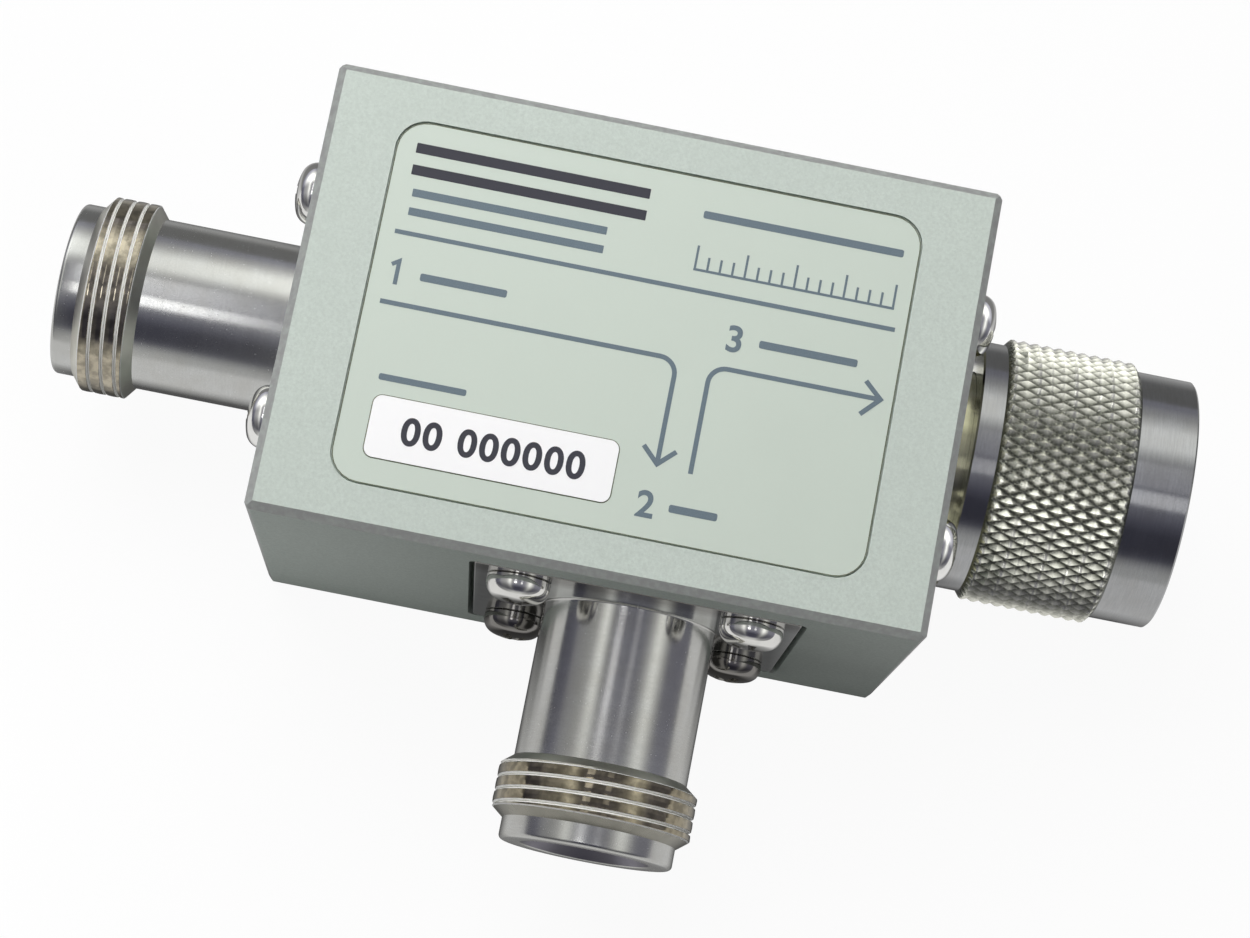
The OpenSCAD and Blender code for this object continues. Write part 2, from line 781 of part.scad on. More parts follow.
// Screws that hold the board on its posts, put in from the back
module board_screws() {
    color(bright_steel) at_posts() translate([0, 0, board_back]) mirror([0, 0, 1]) {
        pan_screw(small_screw_r, board_t + board_screw_bite, small_head_r, small_head_h);
    }
}

// Chip resistors of the bridge's arms, in a row by the load connector
module bridge_resistors() {
    first = load_offset - (resistor_count - 1) * resistor_pitch / 2;
    color(resistor_black) for (i = [0:resistor_count - 1]) {
        x = first + i * resistor_pitch;
        translate([x - resistor_l / 2, cavity_low + resistor_inset - resistor_w / 2, board_back - resistor_t]) {
            cube([resistor_l, resistor_w, resistor_t]);
        }
    }
}

// Ferrite cores on the balun's lead
module balun_cores() {
    middle = (coax_left + coax_right) / 2;
    first = middle - (core_count * core_pitch - core_gap) / 2;
    color(ferrite_grey) for (i = [0:core_count - 1]) {
        translate([first + i * core_pitch, coax_y, coax_z]) rotate([0, 90, 0]) difference() {
            cylinder(h = core_l, r = core_r);
            translate([0, 0, -cut]) cylinder(h = core_l + 2 * cut, r = coax_r);
        }
    }
}

// Coaxial lead of the balun, soldered to the board at both ends
module balun_coax() {
    color(coax_copper) translate([0, coax_y, 0]) {
        translate([coax_left, 0, 0]) coax_end();
        translate([coax_right, 0, 0]) mirror([1, 0, 0]) coax_end();
        translate([coax_left + coax_bend_r, 0, coax_z]) rotate([0, 90, 0]) cylinder(h = coax_run, r = coax_r);
    }
}

housing();
rear_cover();
cover_screws();
front_label();
number_sticker();
source_body();
source_insulator();
source_contact();
source_screws();
load_body();
load_insulator();
load_contact();
load_screws();
coupler_body();
coupler_outer_contact();
coupler_insulator();
coupler_pin();
coupling_nut();
coupler_gasket();
coupler_snap_ring();
coupler_screws();
circuit_board();
board_screws();
bridge_resistors();
balun_cores();
balun_coax();
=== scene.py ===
import math

import bpy
from mathutils import Matrix, Vector

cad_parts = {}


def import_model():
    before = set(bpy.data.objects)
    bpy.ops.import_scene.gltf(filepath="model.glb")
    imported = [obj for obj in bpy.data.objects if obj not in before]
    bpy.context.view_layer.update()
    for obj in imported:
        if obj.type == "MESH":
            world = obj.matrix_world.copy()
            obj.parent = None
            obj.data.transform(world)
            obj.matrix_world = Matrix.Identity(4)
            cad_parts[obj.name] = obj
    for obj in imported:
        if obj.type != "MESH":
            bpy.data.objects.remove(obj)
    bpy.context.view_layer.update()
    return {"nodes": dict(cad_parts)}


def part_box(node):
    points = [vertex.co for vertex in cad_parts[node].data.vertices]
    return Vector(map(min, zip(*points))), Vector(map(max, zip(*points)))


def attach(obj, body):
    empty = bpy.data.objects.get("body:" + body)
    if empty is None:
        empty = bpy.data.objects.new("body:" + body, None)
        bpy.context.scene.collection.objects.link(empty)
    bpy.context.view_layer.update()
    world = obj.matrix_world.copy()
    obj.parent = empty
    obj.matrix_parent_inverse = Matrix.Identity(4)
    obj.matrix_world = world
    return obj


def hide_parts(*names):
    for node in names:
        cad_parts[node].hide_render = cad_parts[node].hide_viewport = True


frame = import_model()

# Lengths are in millimetres, apart from those whose comment says metres, and MM turns them into metres
MM = 0.001

# Places that the frame gives, in metres
HOUSE_LO, HOUSE_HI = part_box("housing")
LABEL_LO, LABEL_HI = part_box("front_label")
STICKER_LO, STICKER_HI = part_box("number_sticker")
SOURCE_LO, SOURCE_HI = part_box("source_body")
LOAD_LO, LOAD_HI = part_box("load_body")
NUT_LO, NUT_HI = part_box("coupling_nut")
PORT_Z = (SOURCE_LO.z + SOURCE_HI.z) / 2
LOAD_X = (LOAD_LO.x + LOAD_HI.x) / 2

# Each port's own axes: +Z leaves the housing and the flange's face is at zero
AT_SOURCE = Matrix.Translation((HOUSE_LO.x, 0, PORT_Z)) @ Matrix.Rotation(math.radians(-90), 4, "Y")
AT_COUPLER = Matrix.Translation((HOUSE_HI.x, 0, PORT_Z)) @ Matrix.Rotation(math.radians(90), 4, "Y")
AT_LOAD = Matrix.Translation((LOAD_X, HOUSE_LO.y, PORT_Z)) @ Matrix.Rotation(math.radians(90), 4, "X")

# The jacks, measured along a port's axis
BARREL_LEN = (HOUSE_LO.x - SOURCE_LO.x) / MM
FLANGE_SIZE = (SOURCE_HI.z - SOURCE_LO.z) / MM
FLANGE_T = (SOURCE_HI.x - HOUSE_LO.x) / MM
FLANGE_CORNER_R = 0.5
FLANGE_EDGE = 0.12
SCREW_SPACING = 18.26
SCREW_HOLE_R = 1.45
BARREL_R = 6.93
THREAD_R = 7.9375
THREAD_PITCH = 25.4 / 24
THREAD_DEPTH = 0.24
CREST_ROUND = 0.03
# A groove's width and the width of its floor, as shares of the pitch
GROOVE_WIDTH = 0.30
GROOVE_FLOOR = 0.03
THREAD_LEN = 3.35
THREAD_TAPER = 0.8
PILOT_LEN = 1.7
MOUTH_EDGE = 0.35
MOUTH_R = 5.13
MOUTH_LIP = 0.12
MOUTH_DEPTH = 1.5
JACK_BORE_R = 4.05
MATING_DEPTH = 9.1
LINE_R = 3.5


# Helpers for node materials

class Nodes:
    """Makes the nodes of one tree and links them by name."""

    def __init__(self, tree):
        self.tree = tree

    def node(self, kind, inputs=None, **settings):
        made = self.tree.nodes.new(kind)
        for key, value in settings.items():
            setattr(made, key, value)
        for key, value in (inputs or {}).items():
            self.feed(made.inputs[key], value)
        return made

    def feed(self, socket, value):
        if isinstance(value, bpy.types.NodeSocket):
            self.tree.links.new(value, socket)
        else:
            socket.default_value = value

    def math(self, operation, a, b=0.0, c=0.0, clamp=False):
        inputs = {0: a, 1: b, 2: c}
        return self.node("ShaderNodeMath", inputs, operation=operation, use_clamp=clamp).outputs[0]

    def ramp(self, value, low, high, out_low=0.0, out_high=1.0):
        inputs = {"Value": value, "From Min": low, "From Max": high, "To Min": out_low, "To Max": out_high}
        return self.node("ShaderNodeMapRange", inputs).outputs["Result"]

    def mix(self, factor, a, b):
        made = self.node("ShaderNodeMix", data_type="RGBA")
        self.feed(made.inputs["Factor"], factor)
        for socket, colour in zip([s for s in made.inputs if s.type == "RGBA"], (a, b)):
            self.feed(socket, colour)
        return [s for s in made.outputs if s.type == "RGBA"][0]

    def split(self, vector):
        return self.node("ShaderNodeSeparateXYZ", {0: vector}).outputs


class Shader(Nodes):
    """A material under construction."""

    def __init__(self, name):
        self.material = bpy.data.materials.new(name)
        self.material.use_nodes = True
        super().__init__(self.material.node_tree)
        self.bsdf = self.tree.nodes["Principled BSDF"]
        coordinates = self.tree.nodes.new("ShaderNodeTexCoord").outputs
        self.position = coordinates["Object"]
        self.facing = coordinates["Normal"]

    def noise(self, vector, size_mm, detail=2.0, roughness=0.5):
        inputs = {"Vector": vector, "Scale": 1 / (size_mm * MM), "Detail": detail, "Roughness": roughness}
        return self.node("ShaderNodeTexNoise", inputs).outputs["Fac"]

    def bump(self, height, depth_mm, strength, normal=None):
        inputs = {"Height": height, "Distance": depth_mm * MM, "Strength": strength}
        made = self.node("ShaderNodeBump", inputs)
        if normal is not None:
            self.feed(made.inputs["Normal"], normal)
        return made.outputs["Normal"]

    def set(self, **values):
        for key, value in values.items():
            self.feed(self.bsdf.inputs[key.replace("_", " ")], value)
        return self.material


def rgba(colour):
    return (*colour, 1.0)


def scaled(colour, factor):
    """A darker or brighter colour for a socket, at most white."""
    return rgba([min(1.0, c * factor) for c in colour])


def axis_parts(shader, axis, centre):
    """Distance along an axis, angle round it and distance from it, for finishes of turned pieces."""
    parts = shader.split(shader.position)
    along, side, up = {"X": (0, 1, 2), "Y": (1, 0, 2)}[axis]
    level = shader.math("SUBTRACT", parts[up], centre[2])
    across = shader.math("SUBTRACT", parts[side], centre[side])
    level_squared = shader.math("MULTIPLY", level, level)
    squares = shader.math("ADD", level_squared, shader.math("MULTIPLY", across, across))
    return parts[along], shader.math("ARCTAN2", across, level), shader.math("SQRT", squares)


# Materials

# Most of a noise lies between these two values
NOISE_SPAN = (0.3, 0.7)
WHITE = (1.0, 1.0, 1.0)

PAINT_GRAIN_MM = 0.22
PAINT_PATCH_MM = 9.0
PAINT_SCUFF_MM = 0.5
PAINT_CONTRAST = 0.09
PAINT_ROUGHNESS = (0.62, 0.5)
# Largest part of the normal where the wear of a bevel starts and where it is full
BEVEL_SPAN = (0.92, 0.80)


def paint(name, colour, bare):
    """Matt paint with a fine grain, thin enough on the bevels for the metal to show."""
    s = Shader(name)
    grain = s.noise(s.position, PAINT_GRAIN_MM, detail=3.0, roughness=0.65)
    patches = s.noise(s.position, PAINT_PATCH_MM)
    dark, light = scaled(colour, 1 - PAINT_CONTRAST), scaled(colour, 1 + PAINT_CONTRAST)
    tint = s.mix(s.ramp(grain, *NOISE_SPAN), dark, light)
    tint = s.mix(s.ramp(patches, 0.35, 0.65, 0.0, 0.25), tint, scaled(colour, 0.95))
    facing = s.node("ShaderNodeVectorMath", {0: s.facing}, operation="ABSOLUTE").outputs[0]
    sides = s.split(facing)
    flatness = s.math("MAXIMUM", s.math("MAXIMUM", sides[0], sides[1]), sides[2])
    scuffs = s.ramp(s.noise(s.position, PAINT_SCUFF_MM, detail=4.0), 0.35, 0.6, 0.6, 1.0)
    wear = s.math("MULTIPLY", s.ramp(flatness, *BEVEL_SPAN), scuffs)
    tint = s.mix(wear, tint, rgba(bare))
    rough = s.math("SUBTRACT", s.ramp(grain, *NOISE_SPAN, *PAINT_ROUGHNESS), s.math("MULTIPLY", wear, 0.15))
    normal = s.bump(grain, 0.012, 0.5)
    return s.set(Base_Color=tint, Roughness=rough, Normal=normal, Metallic=s.math("MULTIPLY", wear, 0.3))


def film(name, colour, roughness, mottle):
    """Printed label stock: smooth, with a slight mottle."""
    s = Shader(name)
    fine = s.noise(s.position, 0.12)
    broad = s.noise(s.position, 6.0, detail=1.0)
    tint = s.mix(s.ramp(broad, *NOISE_SPAN), scaled(colour, 0.985), rgba(colour))
    tint = s.mix(s.ramp(fine, 0.25, 0.75, 0.0, mottle), tint, scaled(colour, 0.75))
    rough = s.ramp(broad, *NOISE_SPAN, roughness - 0.03, roughness + 0.03)
    return s.set(Base_Color=tint, Roughness=rough, Normal=s.bump(fine, 0.004, 0.3), Metallic=0.0)


def ink(name, colour):
    """Screen print: dense, a little duller than its ground and slightly uneven."""
    s = Shader(name)
    fine = s.noise(s.position, 0.08)
    tint = s.mix(s.ramp(fine, 0.35, 0.75), rgba(colour), scaled(colour, 1.25))
    return s.set(Base_Color=tint, Roughness=s.ramp(fine, *NOISE_SPAN, 0.45, 0.6), Metallic=0.0)


# Metres that a radian round the axis counts for in turned metal, so few that its lines run round as rings
RING_STRETCH = 0.0006
TARNISH = (0.86, 0.84, 0.80)


def turned(name, colour, axis, centre, roughness, line_mm=0.05, ring_tone=0.16, glitter=0.0, polish=None):
    """Turned and plated metal: fine rings round the axis, with small duller and brighter specks.

    Polish is (start, end, roughness), in metres along the axis, for a bright start that dulls by the end."""
    s = Shader(name)
    along, angle, _ = axis_parts(s, axis, centre)
    stretched = {"X": along, "Y": s.math("MULTIPLY", angle, RING_STRETCH)}
    lines_at = s.node("ShaderNodeCombineXYZ", stretched).outputs[0]
    rings = s.noise(lines_at, line_mm, detail=3.0, roughness=0.6)
    marks = s.noise(lines_at, 3 * line_mm)
    bands = s.noise(lines_at, 0.7)
    grain = s.noise(s.position, 0.07)
    specks = s.noise(s.position, 0.16, detail=4.0, roughness=0.7)
    clouds = s.noise(s.position, 2.2, detail=3.0)
    sparks = s.noise(s.position, 0.15, detail=1.0)
    spark_places = s.noise(s.position, 1.8, detail=1.0)
    tarnish = rgba([c * share for c, share in zip(colour, TARNISH)])
    tint = s.mix(s.ramp(clouds, 0.38, 0.68, 0.0, 0.55), rgba(colour), tarnish)
    tint = s.mix(s.ramp(specks, 0.62, 0.75, 0.0, 0.3), tint, scaled(colour, 0.8))
    tint = s.mix(s.ramp(grain, 0.35, 0.65, 0.0, 0.35), tint, scaled(colour, 0.72))
    glint = s.math("MULTIPLY", s.ramp(sparks, 0.73, 0.78), s.ramp(spark_places, 0.45, 0.6, 0.0, glitter))
    tint = s.mix(glint, tint, rgba(WHITE))
    tint = s.mix(s.ramp(marks, 0.35, 0.65, 0.0, ring_tone), tint, scaled(colour, 0.75))
    if polish:
        start, end, bright = polish
        roughness = s.ramp(along, start, end, bright, roughness)
    rough = s.math("ADD", s.ramp(bands, *NOISE_SPAN, -0.01, 0.02), s.ramp(specks, 0.4, 0.75, 0.0, 0.05))
    rough = s.math("ADD", rough, roughness)
    rough = s.math("ADD", rough, s.math("MULTIPLY", glint, 0.3))
    normal = s.bump(rings, 0.003, 0.2)
    normal = s.bump(specks, 0.003, 0.15, normal)
    return s.set(Base_Color=tint, Roughness=rough, Normal=normal, Metallic=1.0)


# Colour of the painted shade on plating
PAINTED_SHADE_PLATING = (0.14, 0.13, 0.12)


def plated(name, colour, roughness, depth_mm=0.004, shade_heights=None):
    """Bright plating with a slight ripple and a few duller places.

    Its last argument is (start, end), two heights in metres between which painted shade darkens it."""
    s = Shader(name)
    ripple = s.noise(s.position, 0.25, detail=3.0)
    clouds = s.noise(s.position, 1.5)
    tint = s.mix(s.ramp(clouds, 0.4, 0.7, 0.0, 0.6), rgba(colour), scaled(colour, 0.86))
    rough = s.ramp(clouds, *NOISE_SPAN, roughness - 0.03, roughness + 0.06)
    # Painted shade, full past the second height
    if shade_heights:
        height = s.split(s.position)[2]
        tint = s.mix(s.ramp(height, *shade_heights, 0.0, 0.85), tint, rgba(PAINTED_SHADE_PLATING))
    return s.set(Base_Color=tint, Roughness=rough, Normal=s.bump(ripple, depth_mm, 0.4), Metallic=1.0)


KNURL_CREST = (0.93, 0.925, 0.83)
# Colour of the painted shade, both in the knurl's grooves and along its lower side
KNURL_SHADE_TONE = (0.15, 0.155, 0.125)
# Distances from the axis at which the painted shade in the grooves and the bright crests are full
KNURL_LEVELS = (10.34, 10.62)
# Distances under the axis at which the painted shade on the knurl's lower side starts and is full, in metres
KNURL_SHADED_SIDE = (0.005, 0.009)


def grooved(name, axis, centre):
    """Plated knurl with painted shade in its grooves and along its lower side."""
    s = Shader(name)
    _, _, distance = axis_parts(s, axis, centre)
    specks = s.noise(s.position, 0.12, detail=4.0, roughness=0.7)
    patches = s.noise(s.position, 0.9)
    low, high = KNURL_LEVELS
    height = s.math("ADD", s.ramp(distance, low * MM, high * MM), s.ramp(patches, *NOISE_SPAN, -0.12, 0.12))
    # Painted shade in the grooves: darker the further in from the crests
    tint = s.mix(s.math("MULTIPLY", height, 1.0, clamp=True), rgba(KNURL_SHADE_TONE), rgba(KNURL_CREST))
    tint = s.mix(s.ramp(specks, 0.55, 0.75, 0.0, 0.5), tint, scaled(KNURL_CREST, 0.6))
    # Painted shade along the lower side: darker below the axis
    start, end = [centre[2] - under for under in KNURL_SHADED_SIDE]
    tint = s.mix(s.ramp(s.split(s.position)[2], start, end, 0.0, 0.8), tint, rgba(KNURL_SHADE_TONE))
    rough = s.ramp(specks, 0.35, 0.7, 0.10, 0.24)
    return s.set(Base_Color=tint, Roughness=rough, Normal=s.bump(specks, 0.006, 0.3), Metallic=0.74)


# Pale colour of the grooves: a painted reflection of the thread's flanks
THREAD_GROOVE = (0.92, 0.92, 0.90)
THREAD_GROOVE_FLOOR = (0.50, 0.49, 0.44)
# Distances from the axis of a groove's floor and of the crests
THREAD_LEVELS = (THREAD_R - THREAD_DEPTH, THREAD_R - CREST_ROUND)


def threaded(name, axis, centre, crest):
    """Worn thread: dark crests like mirrors between matt grooves whose pale colour is a painted reflection,
    each with a darker floor.
    """
    s = Shader(name)
    _, _, distance = axis_parts(s, axis, centre)
    height = s.ramp(distance, *[r * MM for r in THREAD_LEVELS])
    ripple = s.noise(s.position, 0.4, detail=3.0)
    patches = s.noise(s.position, 0.8, detail=3.0)
    flanks = s.mix(s.ramp(height, 0.0, 0.06), rgba(THREAD_GROOVE_FLOOR), rgba(THREAD_GROOVE))
    worn = s.mix(s.ramp(patches, 0.40, 0.60, 0.0, 0.9), rgba(crest), scaled(crest, 0.55))
    top = s.ramp(height, 0.78, 0.94)
    rough = s.ramp(top, 0.0, 1.0, 0.5, 0.07)
    metallic = s.ramp(top, 0.0, 1.0, 0.1, 1.0)
    tint = s.mix(top, flanks, worn)
    return s.set(Base_Color=tint, Roughness=rough, Normal=s.bump(ripple, 0.003, 0.5), Metallic=metallic)


def moulded(name, colour, roughness=0.45):
    """Plastic, rubber or ceramic with a fine surface."""
    s = Shader(name)
    grain = s.noise(s.position, 0.3, detail=3.0)
    tint = s.mix(s.ramp(grain, *NOISE_SPAN), scaled(colour, 0.93), rgba(colour))
    rough = s.ramp(grain, *NOISE_SPAN, roughness - 0.06, roughness + 0.06)
    return s.set(Base_Color=tint, Roughness=rough, Normal=s.bump(grain, 0.006, 0.4), Metallic=0.0)


HOUSING_COLOUR = (0.540, 0.602, 0.552)
HOUSING_BARE = (0.40, 0.405, 0.40)
SOURCE_AXIS = ("X", (0, 0, PORT_Z))
LOAD_AXIS = ("Y", (LOAD_X, 0, PORT_Z))
# The load barrel's bright start by its flange, in metres along the axis, with its roughness
LOAD_POLISH = (HOUSE_LO.y, HOUSE_LO.y - 12 * MM, 0.10)
# Heights in metres between which painted shade darkens the load screws below the port's axis and the upper
# edge of a flange
LOAD_SCREW_SHADE = (PORT_Z + MM, PORT_Z - MM)
FLANGE_TOP_SHADE = (PORT_Z + 8.5 * MM, PORT_Z + 11 * MM)

housing_paint = paint("housing_paint", HOUSING_COLOUR, HOUSING_BARE)
label_film = film("label_film", (0.585, 0.655, 0.583), roughness=0.42, mottle=0.048)
sticker_film = film("sticker_film", (0.98, 0.975, 0.98), roughness=0.35, mottle=0.016)
slate_ink = ink("slate_ink", (0.115, 0.155, 0.185))
dark_ink = ink("dark_ink", (0.030, 0.030, 0.040))
# Olive lines along the edges of the sticker and of the label; the label's one is a painted shadow
olive_edge_line = ink("olive_edge_line", (0.10, 0.11, 0.07))
screw_metal = plated("screw_metal", (0.90, 0.895, 0.87), roughness=0.08)
# The load screws: a dimmer copy of the screws' plating, with painted shade on the two below the port's axis
load_screw_metal = plated("load_screw_metal", (0.80, 0.79, 0.76), roughness=0.08, shade_heights=LOAD_SCREW_SHADE)
dull_screw_metal = plated("dull_screw_metal", (0.72, 0.72, 0.72), roughness=0.25)
# Painted shade: the cross recesses get a darker copy of the screws' plating
recess_metal = plated("recess_metal", (0.45, 0.44, 0.41), roughness=0.2)
# Flanges get painted shade along their upper edge
flange_metal = plated("flange_metal", (0.55, 0.57, 0.56), roughness=0.10, depth_mm=0.001, shade_heights=FLANGE_TOP_SHADE)
hub_metal = plated("hub_metal", (0.48, 0.47, 0.32), roughness=0.14, depth_mm=0.001)
ring_metal = plated("ring_metal", (0.55, 0.55, 0.56), roughness=0.3)
contact_metal = plated("contact_metal", (0.80, 0.58, 0.26), roughness=0.18)
coax_metal = plated("coax_metal", (0.75, 0.42, 0.26), roughness=0.25)
cone_metal = plated("cone_metal", (0.72, 0.71, 0.64), roughness=0.33, depth_mm=0.002)
dark_cone_metal = plated("dark_cone_metal", (0.30, 0.29, 0.25), roughness=0.26, depth_mm=0.002)
# Painted shade: the bores and the inside of the nut get a dark, slightly violet plating
bore_metal = plated("bore_metal", (0.24, 0.23, 0.26), roughness=0.35)
source_metal = turned("source_metal", (0.62, 0.625, 0.61), *SOURCE_AXIS, roughness=0.17, glitter=1.0)
load_metal = turned("load_metal", (0.56, 0.56, 0.54), *LOAD_AXIS, roughness=0.21, glitter=0.6,
                    polish=LOAD_POLISH)
nut_metal = turned("nut_metal", (0.44, 0.445, 0.45), *SOURCE_AXIS, roughness=0.13, line_mm=0.04,
                   ring_tone=0.40)
source_thread_metal = threaded("source_thread_metal", *SOURCE_AXIS, crest=(0.50, 0.45, 0.35))
load_thread_metal = threaded("load_thread_metal", *LOAD_AXIS, crest=(0.33, 0.29, 0.21))
knurl_metal = grooved("knurl_metal", *SOURCE_AXIS)
insulator_plastic = moulded("insulator_plastic", (0.80, 0.79, 0.76))
gasket_rubber = moulded("gasket_rubber", (0.03, 0.03, 0.032), roughness=0.7)
board_resin = moulded("board_resin", (0.03, 0.16, 0.06), roughness=0.35)
resistor_ceramic = moulded("resistor_ceramic", (0.03, 0.03, 0.033), roughness=0.4)
ferrite = moulded("ferrite", (0.05, 0.048, 0.047), roughness=0.6)

CAD_FINISHES = {
    "housing": housing_paint,
    "rear_cover": housing_paint,
    "cover_screws": dull_screw_metal,
    "front_label": label_film,
    "number_sticker": sticker_film,
    "source_insulator": insulator_plastic,
    "source_contact": contact_metal,
    "load_insulator": insulator_plastic,
    "load_contact": contact_metal,
    "coupler_body": hub_metal,
    "coupler_outer_contact": flange_metal,
    "coupler_insulator": insulator_plastic,
    "coupler_pin": contact_metal,
    "coupler_gasket": gasket_rubber,
    "coupler_snap_ring": ring_metal,
    "circuit_board": board_resin,
    "board_screws": dull_screw_metal,
    "bridge_resistors": resistor_ceramic,
    "balun_cores": ferrite,
    "balun_coax": coax_metal,
}


def finish_cad_nodes():
    for name, material in CAD_FINISHES.items():
        for slot in frame["nodes"][name].material_slots:
            slot.material = material


# Mesh helpers

SHARP_DEG = 30


def linked_object(name, data):
    made = bpy.data.objects.new(name, data)
    bpy.context.scene.collection.objects.link(made)
    return made


def new_object(name, vertices, faces, materials, face_materials=None, place=None, sharp_deg=SHARP_DEG):
    """Mesh object from points in millimetres, put in place and shaded smooth up to an angle."""
    mesh = bpy.data.meshes.new(name)
    mesh.from_pydata([Vector(v) * MM for v in vertices], [], faces)
    if place is not None:
        mesh.transform(place)
    mesh.validate()
    for material in materials:
        mesh.materials.append(material)
    for i, polygon in enumerate(mesh.polygons):
        polygon.use_smooth = True
        if face_materials is not None:
            polygon.material_index = face_materials[i]
    mesh.set_sharp_from_angle(angle=math.radians(sharp_deg))
    return linked_object(name, mesh)


def mesh_of(name, curve, material, place):
    """Mesh of a curve or of words, put in place, with one material."""
    maker = linked_object(name, curve)
    bpy.context.view_layer.update()
    mesh = bpy.data.meshes.new_from_object(maker)
    bpy.data.objects.remove(maker)
    mesh.transform(place)
    mesh.materials.clear()
    mesh.materials.append(material)
    return mesh


def join(target, *others):
    """Joins meshes into the first object, keeping each one's materials."""
    bpy.ops.object.select_all(action="DESELECT")
    for o in (target, *others):
        o.select_set(True)
    bpy.context.view_layer.objects.active = target
    bpy.ops.object.join()
    return target


def arc(centre, radius, start_deg, end_deg, steps):
    """Points of an arc, from its start to its end."""
    points = []
    for i in range(steps + 1):
        t = math.radians(start_deg + (end_deg - start_deg) * i / steps)
        points.append((centre[0] + radius * math.cos(t), centre[1] + radius * math.sin(t)))
    return points


def lathe(rows, columns, radius_at=None):
    """Points of a turned form, row by row, and the part that each row's faces belong to.

    A row is (radius, place along the axis, part). Where its radius is None, radius_at gives each point's
    radius from the place along the axis and the share of a turn."""
    vertices, parts = [], []
    for r, u, part in rows:
        parts += [part] * columns
        for k in range(columns):
            turn = k / columns
            radius = radius_at(u, turn) if r is None else r
            angle = 2 * math.pi * turn
            vertices.append((radius * math.cos(angle), radius * math.sin(angle), u))
    return vertices, parts


def ring_faces(rows, columns, closed):
    """Quads between rows of points that each go once round."""
    faces = []
    for i in range(rows if closed else rows - 1):
        for k in range(columns):
            a, b = i * columns, (i + 1) % rows * columns
            n = (k + 1) % columns
            faces.append((a + k, a + n, b + n, b + k))
    return faces


def rounded_rect(width, height, r, steps=6):
    """Outline of a rectangle with round corners, centred."""
    points = []
    for i, (x, y) in enumerate(((1, 1), (-1, 1), (-1, -1), (1, -1))):
        centre = (x * (width / 2 - r), y * (height / 2 - r))
        points += arc(centre, r, 90 * i, 90 * i + 90, steps)
    return points


def circle_outline(centre, r, steps=40):
    return arc(centre, r, 0, 360 - 360 / steps, steps - 1)


def flat_plate(name, outlines, thickness, edge, material, height, place=None):
    """Flat plate from closed outlines, with holes where outlines nest, from a height up."""
    curve = bpy.data.curves.new(name, "CURVE")
    curve.dimensions = "2D"
    curve.fill_mode = "BOTH"
    curve.extrude = max(thickness / 2 - edge, 0.0) * MM
    curve.bevel_depth = edge * MM
    curve.bevel_resolution = 2
    curve.offset = -edge * MM
    for outline in outlines:
        spline = curve.splines.new("POLY")
        spline.points.add(len(outline) - 1)
        for point, (x, y) in zip(spline.points, outline):
            point.co = (x * MM, y * MM, 0, 1)
        spline.use_cyclic_u = True
    mesh = mesh_of(name, curve, material, Matrix.Translation((0, 0, (height + thickness / 2) * MM)))
    if place is not None:
        mesh.transform(place)
    for polygon in mesh.polygons:
        polygon.material_index = 0
    mesh.set_sharp_from_angle(angle=math.radians(SHARP_DEG))
    return linked_object(name, mesh)


# Jacks

TAPER_END = BARREL_LEN - PILOT_LEN
CREST_END = TAPER_END - THREAD_TAPER
CREST_START = CREST_END - THREAD_LEN
TAPER_START = CREST_START - THREAD_TAPER
JACK_SHOULDER = BARREL_LEN - MATING_DEPTH
# Rows of points in one pitch of the thread, and columns of points round a jack
THREAD_STEPS = 24
JACK_COLUMNS = 144
# How far the thread's own finish reaches past its full crests
THREAD_FINISH_MARGIN = 0.1
FOOT_FILLET = 0.16
# The round lip of the mouth ends where it has this much of a quarter turn left, at this share of its radius
LIP_LEFT_DEG = 20
LIP_DROP = 0.66
JACK_SHARP_DEG = 32
# How far the flange reaches in under the barrel
FLANGE_OVERLAP = 0.3
FLANGE_BORE_STEPS = 96


def barrel_radius(u):
    """Radius of the barrel at u with its thread filled in."""
    if u <= TAPER_START or u >= TAPER_END:
        return BARREL_R
    rise = min(u - TAPER_START, TAPER_END - u, THREAD_TAPER) / THREAD_TAPER
    return BARREL_R + (THREAD_R - BARREL_R) * rise


def thread_radius(u, turn):
    """Radius of the worn thread at u, after a share of a turn: broad crests, narrow grooves, tapered ends."""
    from_groove = abs((u / THREAD_PITCH - turn + 0.5) % 1.0 - 0.5) * 2
    rise = min(max((from_groove - GROOVE_FLOOR) / (GROOVE_WIDTH - GROOVE_FLOOR), 0.0), 1.0)
    round_crest = CREST_ROUND * max(from_groove - GROOVE_WIDTH, 0.0)
    radius = THREAD_R - CREST_ROUND * (1 - GROOVE_WIDTH) - THREAD_DEPTH * (1 - rise) + round_crest
    return min(barrel_radius(u), radius)


def flange_plate(name, place):
    """Square flange with four screw holes, its face at zero."""
    half = SCREW_SPACING / 2
    outlines = [
        rounded_rect(FLANGE_SIZE, FLANGE_SIZE, FLANGE_CORNER_R),
        circle_outline((0, 0), BARREL_R - FLANGE_OVERLAP, FLANGE_BORE_STEPS),
    ]
    outlines += [circle_outline((x * half, y * half), SCREW_HOLE_R) for x in (-1, 1) for y in (-1, 1)]
    return flat_plate(name, outlines, FLANGE_T, FLANGE_EDGE, flange_metal, -FLANGE_T, place)


